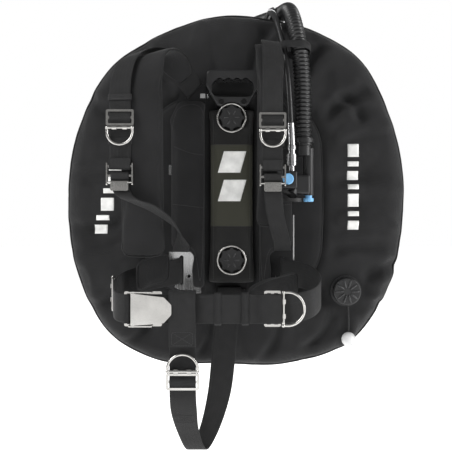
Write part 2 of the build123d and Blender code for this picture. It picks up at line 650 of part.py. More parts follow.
def make_buckle():
    z0, z1 = BELT_Z - BUCKLE_HALF, BELT_Z + BUCKLE_HALF
    x0 = BUCKLE_X0 - 10
    x1 = BUCKLE_X1 - 14
    plate = Pos((x0 + x1) / 2, BELT_Z) * RectangleRounded(x1 - x0, z1 - z0, 3)
    frame = slab(plate, -212.2, -210.2)
    frame -= box(BUCKLE_X0 - 5, BUCKLE_X0 + 3, -215, -205, BELT_Z - 26.5, BELT_Z + 26.5)
    for z in (z0, z1 - 2):
        wall = box(x0 + 8, BUCKLE_X1 - 30, -226, -210.2, z, z + 2)
        frame += fillet(wall.edges().filter_by(Axis.Z), 3.0)
        frame -= rod((PIN_X, PIN_Y, z - 1), (PIN_X, PIN_Y, z + 3), PIN_R)
    save("buckle_frame", frame)
    save("buckle_pin", rod((PIN_X, PIN_Y, z0 - 0.5), (PIN_X, PIN_Y, z1 + 0.5), PIN_R))
    start, end = PIN_X - 3, BUCKLE_X1 + 3
    outline = [(start, -27.5), (start, 27.5), (end - 13, 21), (end, 8), (end, -9), (end - 13, -23)]
    lid = slab(Pos(0, BELT_Z) * polygon(outline, 5.0), -226.5, -224.5)
    knuckle = rod((PIN_X, PIN_Y, BELT_Z - 27.4), (PIN_X, PIN_Y, BELT_Z + 27.4), 4.0)
    lid = lid + knuckle - rod((PIN_X, PIN_Y, z0), (PIN_X, PIN_Y, z1), PIN_R + GAP)
    save("buckle_flap", lid)


HIP_PAD_RIGHT = [
    across((-122, -60, -152), UP, 56), across((-150, -74, -158), UP, 60),
    across((-176, -98, -168), UP, 56),
]
HIP_PAD_LEFT = [
    across((124, -68, -186), UP, 52), across((96, -96, -193), UP, 60),
    across((62, -128, -199), UP, 60), across((38, -154, -205), UP, 54),
    across((28, -174, -210), UP, 44),
]


def make_hips():
    slides = []
    left = placed(knuckled_slide(BELT_W), (HIP_X, HIP_Y, BELT_Z), UP, FRONT)
    slides.append(left)
    bar = SLIDE_LENGTH / 2 + KNUCKLE_DROP
    ring = d_ring(BELT_W + 2, 36.0)
    save("left_hip_d_ring",
         placed(ring, (HIP_X + bar, HIP_Y - KNUCKLE_Z, BELT_Z), UP, FRONT))
    outward = (-1, 0, 0)
    x, y, z = R_HIP
    slides.append(placed(knuckled_slide(BELT_W), (x, y, z), (0, 0, -1), outward))
    save("right_hip_d_ring",
         placed(ring, (x - KNUCKLE_Z, y + bar, z), (0, 0, -1), outward))
    save("hip_sliders", Compound(children=slides))
    save("hip_pad_right", ribbon(HIP_PAD_RIGHT, 8.0))
    save("hip_pad_left", ribbon(HIP_PAD_LEFT, 13.0))


# ---------------------------------------------------------------- crotch strap
def make_crotch():
    wide = (1, 0, 0)
    rear = [
        across((-4, 8, CROTCH_SLOT_Z), wide, CROTCH_W), across((-4, -12, CROTCH_SLOT_Z), wide, CROTCH_W),
        across((-6, -34, -216), wide, CROTCH_W), across((-14, -60, -300), wide, CROTCH_W),
        across((-24, -74, -390), wide, 44), across((-42, -82, -455), wide, 38),
        across((-58, -92, -486), wide, 36), across((-66, -110, -486), wide, 36),
        across((-80, -150, -440), wide, 40), across((-85, -182, -398), wide, CROTCH_W),
        across((-86, -197, -371), wide, CROTCH_W),
    ]
    rear += threaded(CROTCH_SLIDE, (0, 0, 1), FRONT, wide, CROTCH_W)
    rear += [
        across((CROTCH_X, -201, -292), wide, CROTCH_W), across((CROTCH_X, -207, -246), wide, CROTCH_W),
        across((CROTCH_X, -207, -186), wide, CROTCH_W), across((CROTCH_X, -221, -186), wide, CROTCH_W),
        across((CROTCH_X, -221, -246), wide, CROTCH_W), across((CROTCH_X, -215.5, -280), wide, CROTCH_W),
    ]
    save("crotch_strap", ribbon(rear, WEB_T))
    save("crotch_slider", placed(knuckled_slide(CROTCH_W), CROTCH_SLIDE, (-1, 0, 0), FRONT))
    bar_z = CROTCH_SLIDE[2] + SLIDE_LENGTH / 2 + KNUCKLE_DROP
    ring = d_ring(CROTCH_W + 2, 29.0)
    save("crotch_d_ring",
         placed(ring, (CROTCH_X, CROTCH_SLIDE[1] - KNUCKLE_Z, bar_z), (-1, 0, 0), FRONT))


def make_keepers():
    """Elastic loops that hold layers of webbing together."""
    loops = []
    for x in KEEPER_X:
        outer = box(x - 6, x + 6, -218, -210, BELT_Z - 28, BELT_Z + 28)
        loops.append(outer - box(x - 7, x + 7, -216.4, -211.6, BELT_Z - 26.4, BELT_Z + 26.4))
    save("belt_keepers", Compound(children=loops))


def main():
    os.makedirs("parts", exist_ok=True)
    make_wing()
    make_dump_valve()
    make_elbow()
    make_hose()
    make_inflator()
    make_lp_line()
    make_backplate()
    make_pads()
    make_handle()
    make_thumbwheels()
    make_shoulders()
    make_lower_straps()
    make_belt()
    make_buckle()
    make_hips()
    make_crotch()
    make_keepers()


main()
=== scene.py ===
import json
import math

import bmesh
import bpy
import numpy as np
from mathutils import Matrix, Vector, noise
from mathutils.bvhtree import BVHTree


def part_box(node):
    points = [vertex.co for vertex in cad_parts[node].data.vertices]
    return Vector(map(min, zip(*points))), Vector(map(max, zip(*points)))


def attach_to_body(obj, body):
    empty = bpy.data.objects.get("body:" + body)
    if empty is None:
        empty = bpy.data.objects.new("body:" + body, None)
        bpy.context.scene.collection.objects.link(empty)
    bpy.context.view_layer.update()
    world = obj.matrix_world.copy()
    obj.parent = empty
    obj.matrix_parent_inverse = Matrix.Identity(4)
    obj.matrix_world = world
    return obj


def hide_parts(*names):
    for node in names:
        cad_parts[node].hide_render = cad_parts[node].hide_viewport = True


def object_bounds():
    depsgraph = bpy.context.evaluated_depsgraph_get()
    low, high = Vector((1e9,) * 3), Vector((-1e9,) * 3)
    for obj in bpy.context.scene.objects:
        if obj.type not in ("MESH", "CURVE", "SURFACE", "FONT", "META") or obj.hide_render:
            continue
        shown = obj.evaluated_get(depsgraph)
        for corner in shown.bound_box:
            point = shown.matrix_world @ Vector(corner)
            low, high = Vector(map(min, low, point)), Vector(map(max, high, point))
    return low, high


# The looks of a diver's buoyancy compensator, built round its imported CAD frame.
# Shapes are worked out in millimetres and scaled to metres when a mesh is made.
# X points to the wearer's left, Y away from the wearer's back, Z up.
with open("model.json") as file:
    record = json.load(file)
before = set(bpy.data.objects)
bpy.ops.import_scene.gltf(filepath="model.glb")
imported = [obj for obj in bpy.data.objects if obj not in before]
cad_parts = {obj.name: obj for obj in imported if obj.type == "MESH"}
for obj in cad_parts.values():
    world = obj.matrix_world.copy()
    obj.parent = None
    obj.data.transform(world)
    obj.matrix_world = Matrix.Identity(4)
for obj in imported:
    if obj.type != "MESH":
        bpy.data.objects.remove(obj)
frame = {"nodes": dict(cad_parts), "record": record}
cad_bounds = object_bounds()

MM = 0.001
FRONT = np.array([0.0, -1.0, 0.0])
ACROSS = (1, 0, 0)
UP = (0, 0, 1)


def cad(node):
    """A CAD node's lowest and highest corner, in millimetres."""
    low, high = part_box(node)
    return np.array(low) / MM, np.array(high) / MM


# ---------------------------------------------------------------- materials
def new_material(name, color, roughness, metallic=0.0, specular=0.5, sheen=0.0):
    """A principled material, its node tree and its shader."""
    mat = bpy.data.materials.new(name)
    mat.use_nodes = True
    shader = mat.node_tree.nodes["Principled BSDF"]
    shader.inputs["Base Color"].default_value = (*color, 1.0)
    shader.inputs["Roughness"].default_value = roughness
    shader.inputs["Metallic"].default_value = metallic
    shader.inputs["Specular IOR Level"].default_value = specular
    shader.inputs["Sheen Weight"].default_value = sheen
    shader.inputs["Sheen Roughness"].default_value = 0.4
    return mat, mat.node_tree, shader


def value_of(tree, operation, a, b=None):
    """A Math node; a and b are sockets or numbers."""
    node = tree.nodes.new("ShaderNodeMath")
    node.operation = operation
    for socket, item in zip(node.inputs, (a, b)):
        if item is None:
            continue
        if isinstance(item, (int, float)):
            socket.default_value = item
        else:
            tree.links.new(item, socket)
    return node.outputs[0]


def add_bump(tree, shader, height, strength, distance):
    """Feeds a height to the shader as a bump, with its distance in metres."""
    bump = tree.nodes.new("ShaderNodeBump")
    bump.inputs["Strength"].default_value = strength
    bump.inputs["Distance"].default_value = distance
    tree.links.new(height, bump.inputs["Height"])
    tree.links.new(bump.outputs["Normal"], shader.inputs["Normal"])


def noise_at(tree, source, scale, detail=3.0, stretch=(1, 1, 1)):
    """A noise texture of that scale, stretched along the axes."""
    mapping = tree.nodes.new("ShaderNodeMapping")
    mapping.inputs["Scale"].default_value = stretch
    tree.links.new(source, mapping.inputs["Vector"])
    texture = tree.nodes.new("ShaderNodeTexNoise")
    texture.inputs["Scale"].default_value = scale
    texture.inputs["Detail"].default_value = detail
    tree.links.new(mapping.outputs["Vector"], texture.inputs["Vector"])
    return texture.outputs["Fac"]


def vary_color(tree, shader, factor, dark, light, low=0.3, high=0.7):
    """Base colour that runs from dark to light with a factor."""
    ramp = tree.nodes.new("ShaderNodeValToRGB")
    ramp.color_ramp.elements[0].position = low
    ramp.color_ramp.elements[1].position = high
    ramp.color_ramp.elements[0].color = (*dark, 1)
    ramp.color_ramp.elements[1].color = (*light, 1)
    tree.links.new(factor, ramp.inputs["Fac"])
    tree.links.new(ramp.outputs["Color"], shader.inputs["Base Color"])
    return ramp


def shade(color, k):
    """A colour made darker or lighter by k."""
    return tuple(c * k for c in color)


def woven(name, color, pitch, sheen=0.15, bump=0.5, zone=None):
    """Plain-woven nylon: threads of that pitch in metres pass over and under each other.

    zone is (lowest z, highest z, colour), a band of another colour across the piece."""
    mat, tree, shader = new_material(name, color, 0.78, specular=0.25, sheen=sheen)
    source = tree.nodes.new("ShaderNodeTexCoord").outputs["Object"]
    split = tree.nodes.new("ShaderNodeSeparateXYZ")
    tree.links.new(source, split.inputs[0])
    waves = [value_of(tree, "SINE", value_of(tree, "MULTIPLY", out, math.pi / pitch))
             for out in split.outputs]
    pairs = [value_of(tree, "MULTIPLY", waves[i], waves[j]) for i, j in ((0, 1), (1, 2), (0, 2))]
    weave = value_of(tree, "ADD", value_of(tree, "ADD", pairs[0], pairs[1]), pairs[2])
    slub = noise_at(tree, source, 900, 2)
    add_bump(tree, shader, value_of(tree, "ADD", weave, slub), bump, 0.00025)
    blotch = value_of(tree, "ADD", value_of(tree, "MULTIPLY", weave, 0.08),
                      noise_at(tree, source, 14, 5))
    ramp = vary_color(tree, shader, blotch, shade(color, 0.72), shade(color, 1.35))
    if zone:
        low, high, tint = zone
        inside = value_of(tree, "MULTIPLY", value_of(tree, "GREATER_THAN", split.outputs[2], low),
                          value_of(tree, "LESS_THAN", split.outputs[2], high))
        mix = tree.nodes.new("ShaderNodeMix")
        mix.data_type = "RGBA"
        mix.inputs[7].default_value = (*tint, 1)
        tree.links.new(inside, mix.inputs[0])
        tree.links.new(ramp.outputs["Color"], mix.inputs[6])
        tree.links.new(mix.outputs[2], shader.inputs["Base Color"])
    return mat


def webbing(name, color, rib=0.0011, chevron=0.0032, bump=0.6, sheen=0.1):
    """Herringbone webbing: its UV map is in metres, across and along the strap."""
    mat, tree, shader = new_material(name, color, 0.62, specular=0.35, sheen=sheen)
    uv = tree.nodes.new("ShaderNodeTexCoord").outputs["UV"]
    split = tree.nodes.new("ShaderNodeSeparateXYZ")
    tree.links.new(uv, split.inputs[0])
    fold = value_of(tree, "PINGPONG", split.outputs[0], chevron)
    along = value_of(tree, "ADD", split.outputs[1], fold)
    ribs = value_of(tree, "SINE", value_of(tree, "MULTIPLY", along, 2 * math.pi / rib))
    fuzz = noise_at(tree, uv, 1400, 2)
    add_bump(tree, shader, value_of(tree, "ADD", ribs, fuzz), bump, 0.0002)
    blotch = value_of(tree, "ADD", value_of(tree, "MULTIPLY", ribs, 0.12),
                      noise_at(tree, uv, 60, 4))
    vary_color(tree, shader, blotch, shade(color, 0.65), shade(color, 1.5))
    return mat


def moulded(name, color, roughness, grain=1200, bump=0.15, specular=0.5, sheen=0.0):
    """Plastic or rubber with a fine moulded grain and slightly uneven gloss."""
    mat, tree, shader = new_material(name, color, roughness, specular=specular, sheen=sheen)
    source = tree.nodes.new("ShaderNodeTexCoord").outputs["Object"]
    add_bump(tree, shader, noise_at(tree, source, grain, 2), bump, 0.0002)
    scuff = noise_at(tree, source, 45, 6)
    vary_color(tree, shader, scuff, shade(color, 0.85), shade(color, 1.2))
    spread = value_of(tree, "MULTIPLY_ADD", scuff, 0.25)
    spread.node.inputs[2].default_value = roughness - 0.125
    tree.links.new(spread, shader.inputs["Roughness"])
    return mat


def metal(name, color, roughness, brush=(1, 1, 1), bump=0.08):
    """Steel with fine scratches, drawn out along one direction where it is brushed."""
    mat, tree, shader = new_material(name, color, roughness, metallic=1.0)
    source = tree.nodes.new("ShaderNodeTexCoord").outputs["Object"]
    scratch = noise_at(tree, source, 420, 6, brush)
    add_bump(tree, shader, scratch, bump, 0.0001)
    vary_color(tree, shader, noise_at(tree, source, 30, 5), shade(color, 0.86), shade(color, 1.08))
    spread = value_of(tree, "MULTIPLY_ADD", scratch, 0.2)
    spread.node.inputs[2].default_value = max(roughness - 0.1, 0.02)
    tree.links.new(spread, shader.inputs["Roughness"])
    return mat


SPINE_ZONE = (-0.073, 0.087, (0.042, 0.042, 0.031))
MATERIALS = {
    "wing_fabric": woven("wing_nylon", (0.0145, 0.0145, 0.015), 0.0011, sheen=0.08),
    "bladder_film": moulded("bladder_film", (0.03, 0.05, 0.09), 0.35),
    "panel_fabric": woven("panel_nylon", (0.012, 0.012, 0.0125), 0.0009),
    "pad_fabric": woven("pad_nylon", (0.012, 0.012, 0.0125), 0.0008, sheen=0.1),
    "spine_fabric": woven("spine_nylon", (0.014, 0.014, 0.0135), 0.0014, zone=SPINE_ZONE),
    "webbing": webbing("strap_webbing", (0.0055, 0.0055, 0.0058), sheen=0.05),
    "elastic": webbing("woven_elastic", (0.008, 0.008, 0.0084), rib=0.0016, chevron=0.05, sheen=0.05),
    "cord": webbing("braided_cord", (0.02, 0.02, 0.02), rib=0.0009, chevron=0.0015),
    "plate_steel": metal("brushed_plate", (0.6, 0.6, 0.6), 0.26, brush=(1, 1, 0.02), bump=0.2),
    "steel": metal("polished_steel", (0.54, 0.53, 0.51), 0.18),
    "silver_metal": metal("plated_brass", (0.62, 0.62, 0.63), 0.2),
    "spring_steel": metal("spring_wire", (0.5, 0.5, 0.5), 0.3),
    "black_metal": metal("black_oxide", (0.03, 0.03, 0.03), 0.4),
    "black_plastic": moulded("black_plastic", (0.011, 0.011, 0.0115), 0.42),
    "blue_plastic": moulded("blue_plastic", (0.22, 0.52, 0.86), 0.28, bump=0.05),
    "white_plastic": moulded("white_plastic", (0.72, 0.72, 0.72), 0.32, bump=0.05),
    "hose_rubber": moulded("hose_rubber", (0.012, 0.012, 0.0125), 0.32),
    "soft_rubber": moulded("soft_rubber", (0.012, 0.012, 0.012), 0.5),
}
THREAD = moulded("stitching_thread", (0.03, 0.03, 0.031), 0.6, grain=3000)
# The ribs' plastic is lighter than the black plastic it sits on: a painted highlight along the ribs. Its
# lower roughness is real gloss.
RIB_PAINTED_HIGHLIGHT = moulded("rib_painted_highlight_plastic", (0.035, 0.035, 0.036), 0.3)
PRINT = moulded("white_print", (0.82, 0.82, 0.80), 0.5, grain=900, bump=0.04)


def finish_cad_nodes():
    """Gives each CAD node the material of its slot in the record."""
    for part in frame["record"]["subparts"]:
        obj = frame["nodes"][part["node"]]
        coated(obj.data, MATERIALS[part["material_slot"]])


# ---------------------------------------------------------------- mesh helpers
def placed(name, data):
    """A new object in the scene that shows that data."""
    obj = bpy.data.objects.new(name, data)
    bpy.context.scene.collection.objects.link(obj)
    return obj


def coated(mesh, material):
    """The mesh with that material alone."""
    mesh.materials.clear()
    mesh.materials.append(material)
    return mesh


def store(work, mesh):
    """Writes an edited bmesh back and frees it."""
    work.to_mesh(mesh)
    work.free()


def add_mesh(name, points, faces, material, uvs=None):
    """A smooth-shaded object from points in millimetres."""
    mesh = bpy.data.meshes.new(name)
    mesh.from_pydata((np.asarray(points, float) * MM).tolist(), [], faces)
    mesh.polygons.foreach_set("use_smooth", [True] * len(mesh.polygons))
    mesh.materials.append(material)
    if uvs is not None:
        layer = mesh.uv_layers.new(name="UVMap")
        index = np.zeros(len(mesh.loops), int)
        mesh.loops.foreach_get("vertex_index", index)
        layer.data.foreach_set("uv", (np.asarray(uvs, float)[index] * MM).ravel())
    mesh.validate()
    work = bmesh.new()
    work.from_mesh(mesh)
    bmesh.ops.recalc_face_normals(work, faces=work.faces)
    store(work, mesh)
    return placed(name, mesh)


def attach(obj, slot, *nodes, body="root"):
    """Ties a piece to its body and hides the CAD nodes it stands for; slot is not used."""
    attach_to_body(obj, body)
    if nodes:
        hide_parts(*nodes)
    return obj


def unit(v):
    """Vectors scaled to length 1."""
    v = np.asarray(v, float)
    return v / np.maximum(np.linalg.norm(v, axis=-1, keepdims=True), 1e-9)


def ring_faces(rings, sides, closed=False):
    """Quads between rings of points, which are numbered one ring after another."""
    faces = []
    for i in range(rings if closed else rings - 1):
        a, b = i * sides, (i + 1) % rings * sides
        for j in range(sides):
            k = (j + 1) % sides
            faces.append((a + j, a + k, b + k, b + j))
    return faces


def capped_faces(rings, sides):
    """The faces of an open tube of rings, with a flat face at each end."""
    last = (rings - 1) * sides
    return ring_faces(rings, sides) + [tuple(range(sides))[::-1], tuple(range(last, last + sides))]


def smooth_line(points, step=3.0, closed=False):
    """Centripetal Catmull-Rom curve through rows of points, about step apart."""
    p = np.asarray(points, float)
    if closed:
        p = np.vstack([p[-1], p, p[0], p[1]])
    else:
        p = np.vstack([2 * p[0] - p[1], p, 2 * p[-1] - p[-2]])
    centre = p.reshape(len(p), -1, 3).mean(1)
    rows = []
    for i in range(1, len(p) - 2):
        gaps = np.sqrt(np.maximum(np.linalg.norm(np.diff(centre[i - 1:i + 3], axis=0), axis=1), 1e-3))
        t0, t1, t2, t3 = 0.0, *np.cumsum(gaps)
        count = max(2, int(np.ceil(gaps[1] ** 2 / step)))
        for t in np.linspace(t1, t2, count, endpoint=False):
            a1 = (t1 - t) / (t1 - t0) * p[i - 1] + (t - t0) / (t1 - t0) * p[i]
            a2 = (t2 - t) / (t2 - t1) * p[i] + (t - t1) / (t2 - t1) * p[i + 1]
            a3 = (t3 - t) / (t3 - t2) * p[i + 1] + (t - t2) / (t3 - t2) * p[i + 2]
            b1 = (t2 - t) / (t2 - t0) * a1 + (t - t0) / (t2 - t0) * a2
            b2 = (t3 - t) / (t3 - t1) * a2 + (t - t1) / (t3 - t1) * a3
            rows.append((t2 - t) / (t2 - t1) * b1 + (t - t1) / (t2 - t1) * b2)
    if not closed:
        rows.append(p[-2])
    return np.array(rows)


def lengths_along(line):
    """The distance along a line at each of its points."""
    return np.concatenate([[0], np.cumsum(np.linalg.norm(np.diff(line, axis=0), axis=1))])


def at_length(s, rows, x):
    """The row at distance x, from rows that stand at distances s."""
    return np.stack([np.interp(x, s, rows[:, k]) for k in range(3)], -1)


def resample(line, step):
    """Points evenly spread along a line, and their distances along it."""
    s = lengths_along(line)
    at = np.linspace(0, s[-1], max(2, int(round(s[-1] / step)) + 1))
    return at_length(s, line, at), at


def tube_points(line, radii, sides, closed=False):
    """Rings of points round a line, carried along it without twisting."""
    if closed:
        tangents = unit(np.roll(line, -1, 0) - np.roll(line, 1, 0))
    else:
        tangents = unit(np.gradient(line, axis=0))
    side = unit(np.cross(tangents[0], (0.3, 0.2, 0.93)))
    angles = np.arange(sides) * 2 * math.pi / sides
    points = []
    for centre, tangent, radius in zip(line, tangents, radii):
        side = unit(side - tangent * (side @ tangent))
        other = np.cross(tangent, side)
        points.append(centre + radius * (np.cos(angles)[:, None] * side
                                         + np.sin(angles)[:, None] * other))
    return np.concatenate(points)


def tube(name, line, radii, material, sides=12, closed=False):
    """A solid tube with flat ends, or a closed loop of piping."""
    radii = np.broadcast_to(radii, len(line))
    points = tube_points(line, radii, sides, closed)
    faces = ring_faces(len(line), sides, True) if closed else capped_faces(len(line), sides)
    return add_mesh(name, points, faces, material)


def joined(name, pieces, material):
    """One object from a list of (points, faces)."""
    points, faces, start = [], [], 0
    for p, f in pieces:
        points.append(np.asarray(p, float))
        faces += [tuple(start + i for i in face) for face in f]
        start += len(p)
    return add_mesh(name, np.concatenate(points), faces, material)


# ---------------------------------------------------------------- stitching
DASH, DASH_GAP, THREAD_R = 2.6, 1.5, 0.45
stitches = []


def stitch_row(line, normals):
    """Thread dashes along a line that lies on a surface with those normals."""
    s = lengths_along(line)
    at = np.arange(DASH_GAP, s[-1] - DASH, DASH + DASH_GAP)
    for start in at:
        ends = [at_length(s, line, x) for x in (start, start + DASH)]
        normal = unit(at_length(s, normals, start))
        along = unit(ends[1] - ends[0])
        side = np.cross(along, normal) * THREAD_R
        low = [ends[0] - side, ends[0] + side, ends[1] + side, ends[1] - side]
        high = [q + normal * THREAD_R - (q - (ends[0] + ends[1]) / 2) * 0.25 for q in low]
        stitches.append((low + high, [(3, 2, 1, 0), (4, 5, 6, 7), (0, 1, 5, 4), (1, 2, 6, 5),
                                      (2, 3, 7, 6), (3, 0, 4, 7)]))


# ---------------------------------------------------------------- straps
WEB_T = 2.4
SHOULDER_WEB = 38.0
LOWER_WEB = SHOULDER_WEB - 6
BELT = 50.0
SLIDE_BAR, SLIDE_SLOT, SLIDE_T = 4.0, 8.5, 2.0
WEAVE = SLIDE_T / 2 + 0.35 + WEB_T / 2


def station(centre, direction, width):
    """The two edges of a strap at one place: a centre, a width direction and a width."""
    half = unit(direction) * width / 2
    return np.concatenate([np.array(centre, float) - half, np.array(centre, float) + half])


def threaded(centre, along, outward, width_dir, width):
    """Behind, over and behind a slide's three bars."""
    c, a, n = np.array(centre, float), unit(along), unit(outward)
    edge = SLIDE_BAR / 2 + SLIDE_SLOT
    steps = [(-edge, -WEAVE), (-SLIDE_BAR / 2, WEAVE), (SLIDE_BAR / 2, WEAVE), (edge, -WEAVE)]
    return [station(c + a * s + n * h, width_dir, width) for s, h in steps]


def strap_frames(stations):
    """A strap's middle line, width directions, widths and normals."""
    rows = smooth_line(stations, 2.5)
    left, right = rows[:, :3], rows[:, 3:]
    middle, across = (left + right) / 2, right - left
    along = unit(np.gradient(middle, axis=0))
    return middle, unit(across), np.linalg.norm(across, axis=1), unit(np.cross(across, along))


def strap(name, stations, node, slot="webbing", thickness=WEB_T):
    """Flat webbing with soft edges, slightly cupped and uneven along its length."""
    middle, across, width, normal = strap_frames(stations)
    s = lengths_along(middle)
    columns = np.array([-1, -0.985, -0.93, -0.6, -0.2, 0.2, 0.6, 0.93, 0.985, 1])
    edge = np.where(np.abs(columns) > 0.99, 0.35, np.where(np.abs(columns) > 0.96, 0.8, 1.0))
    profile = [(u, k) for u, k in zip(columns, edge)] + [(u, -k) for u, k in
                                                         zip(columns[::-1], edge[::-1])]
    points, uvs = [], []
    for i in range(len(middle)):
        sway = 0.18 * noise.noise(Vector((s[i] / 35, len(name), 0)))
        for u, k in profile:
            offset = k * thickness / 2 * 0.97 + sway * u
            points.append(middle[i] + across[i] * u * width[i] / 2 + normal[i] * offset)
            uvs.append((u * width[i] / 2, s[i]))
    obj = add_mesh(name, points, capped_faces(len(middle), len(profile)), MATERIALS[slot], uvs)
    return attach(obj, slot, *([node] if node else []))


def box_stitch(stations, start, end, side=1.0, thickness=WEB_T):
    """The square with a cross in it that holds two layers of webbing, from start to end."""
    middle, across, width, normal = strap_frames(stations)
    s = lengths_along(middle)

    def on_strap(u, at):
        rows = [at_length(s, a, at) for a in (middle, across, normal)]
        half = np.interp(at, s, width) / 2
        lift = rows[2] * side * (thickness / 2 * 0.97)
        return rows[0] + rows[1] * u * half + lift, rows[2] * side

    u = 0.78
    corners = [(-u, start), (u, start), (u, end), (-u, end), (-u, start)]
    for (u0, s0), (u1, s1) in list(zip(corners, corners[1:])) + [(corners[0], corners[2]),
                                                               (corners[1], corners[3])]:
        steps = [on_strap(u0 + (u1 - u0) * t, s0 + (s1 - s0) * t) for t in np.linspace(0, 1, 9)]
        stitch_row(np.array([a for a, b in steps]), np.array([b for a, b in steps]))


def edge_stitch(stations, start, end, u, side=1.0, thickness=WEB_T):
    """A row of stitches along a strap at u of its half width."""
    middle, across, width, normal = strap_frames(stations)
    s = lengths_along(middle)
    keep = (s >= start) & (s <= (end if end > 0 else s[-1] + end))
    lift = normal * side * thickness / 2 * 0.97
    line = middle + across * (u * width / 2)[:, None] + lift
    stitch_row(line[keep], (normal * side)[keep])


# ---------------------------------------------------------------- shoulder harness
RIGHT_WEB = (-200.5, -162.5)
LEFT_WEB = (74.5, -127.5)
SLIDER_Z, ADJUSTER_Z = 121.0, 34.0
SLOT_X, SLOT_Z = 74.0, 194.0
PAD_T = 10.0
# the webbing's middle stands this far off the middle of a bar it turns round
TURN_R = 3.4
WEB_LIFT = PAD_T / 2 + WEB_T / 2 + 6.5
RIGHT_PAD = [
    station((-87, -44, 214), (1, 0.2, 1), 40), station((-107, -61, 237), (1, -0.1, 0.75), 56),
    station((-136, -86, 252), (1, -0.7, 0.25), 74), station((-158, -112, 236), (1, -0.5, 0.15), 80),
    station((-165, -132, 192), (1, -0.15, 0.05), 82), station((-163, -144, 130), (1, 0.1, 0), 82),
    station((-162, -148, 20), (1, 0.05, 0), 82), station((-162, -140, -60), (1, 0.05, 0), 82),
    station((-164, -118, -126), (1, 0.05, 0), 78),
]
LEFT_PAD = [
    np.array(row, float) for row in (
        (54, -44, 228, 84, -40, 204), (49, -60, 250, 84, -54, 228), (44, -80, 268, 93, -77, 262),
        (44, -100, 240, 97, -98, 237), (44, -112, 180, 97, -111, 180), (44, -114, 80, 97, -113, 80),
        (44, -110, -10, 97, -109, -10), (46, -96, -70, 97, -95, -70))
]
RIGHT_ON_PAD = [(1, 0.05, 0.9), (2, -0.05, 0.52), (3, -0.12, 0.39), (4, -0.16, 0.31)]
LEFT_ON_PAD = [(1, 0.1, 0.88), (2, 0.2, 0.92), (3, 0.22, 0.93), (4, 0.22, 0.93)]


def on_pad(pad, i, f0, f1):
    """Where the webbing lies over station i of a pad, from f0 to f1 of its width."""
    a, b = pad[i][:3], pad[i][3:]
    before, after = [(row[:3] + row[3:]) / 2 for row in (pad[i - 1], pad[i + 1])]
    lift = unit(np.cross(after - before, b - a)) * WEB_LIFT
    return np.concatenate([a + (b - a) * f0 + lift, a + (b - a) * f1 + lift])


def folded_end(x, y, z):
    """The webbing's turn round a bar and back up in front of itself."""
    back, front = y + TURN_R, y - TURN_R
    return [station(p, ACROSS, SHOULDER_WEB) for p in
            ((x, back, z - 1), (x, back, z - 4.2), (x, front, z - 4.2), (x, front, z + 14))]


def shoulder_stations(side, pad, place, rows):
    """One shoulder webbing: plate slot, over the pad, slide, adjuster."""
    x, y = place
    width_dir = (1, 0, -side)
    stations = [station((side * SLOT_X, depth, SLOT_Z), width_dir, SHOULDER_WEB)
                for depth in (-8, -24)]
    stations += [on_pad(pad, *row) for row in rows]
    stations += threaded((x, y, SLIDER_Z), (0, 0, -1), FRONT, ACROSS, SHOULDER_WEB)
    return stations + folded_end(x, y, ADJUSTER_Z)


def strap_top(x, y):
    """A lower strap's loop round the adjuster's strap bar."""
    z = ADJUSTER_Z - 17
    back, front = y + TURN_R, y - TURN_R
    return [station(p, ACROSS, LOWER_WEB) for p in
            ((x, front, z - 7), (x, front, z + 4.2), (x, back, z + 4.2), (x, back, z - 18))]


def build_shoulder_straps():
    """Both webbings with their stitching, and the lower straps to the plate."""
    right = shoulder_stations(-1, RIGHT_PAD, RIGHT_WEB, RIGHT_ON_PAD)
    left = shoulder_stations(1, LEFT_PAD, LEFT_WEB, LEFT_ON_PAD)
    for name, stations in (("right", right), ("left", left)):
        strap(name + "_shoulder_strap", stations, name + "_shoulder_webbing")
        total = lengths_along(strap_frames(stations)[0])[-1]
        box_stitch(stations, total - 14, total - 2, side=-1)
        edge_stitch(stations, 60, -150, 0.86)
        edge_stitch(stations, 60, -150, -0.86)
    right = strap_top(*RIGHT_WEB) + [station(p, turn, LOWER_WEB) for p, turn in (
        ((-192, -166, -18), (1, -0.35, 0)), ((-170, -174, -30), (0.5, -0.8, 0.1)),
        ((-142, -176, -41), (0.25, -0.9, 0.3)), ((-112, -160, -62), (0.1, -0.9, 0.3)),
        ((-96, -112, -88), (0.3, -0.8, -0.3)), ((-95, -66, -108), (0.9, -0.4, -0.2)),
        ((-99, -40, -121), ACROSS))]
    left = strap_top(*LEFT_WEB) + [station(p, ACROSS, LOWER_WEB) for p in (
        (76, -124, -30), (84, -118, -70), (94, -84, -100), (99, -44, -120))]
    strap("right_lower_run", right, "right_lower_strap")
    strap("left_lower_run", left, "left_lower_strap")


# ---------------------------------------------------------------- waist and crotch
BELT_Y, BELT_Z = -214.0, -215.0
# the belt's inner layer, which goes straight to the buckle's bar
INNER_Y = -207.5
BUCKLE_X0 = -176.0
HIP_LEFT = (69.0, -210.5, BELT_Z)
HIP_RIGHT = (-217.0, -128.0, -196.0)
CROTCH_X, CROTCH_W = -86.0, 46.0
CROTCH_SLIDE = (CROTCH_X, -205.0, -342.0)
CROTCH_SLOT_Z = -196.5


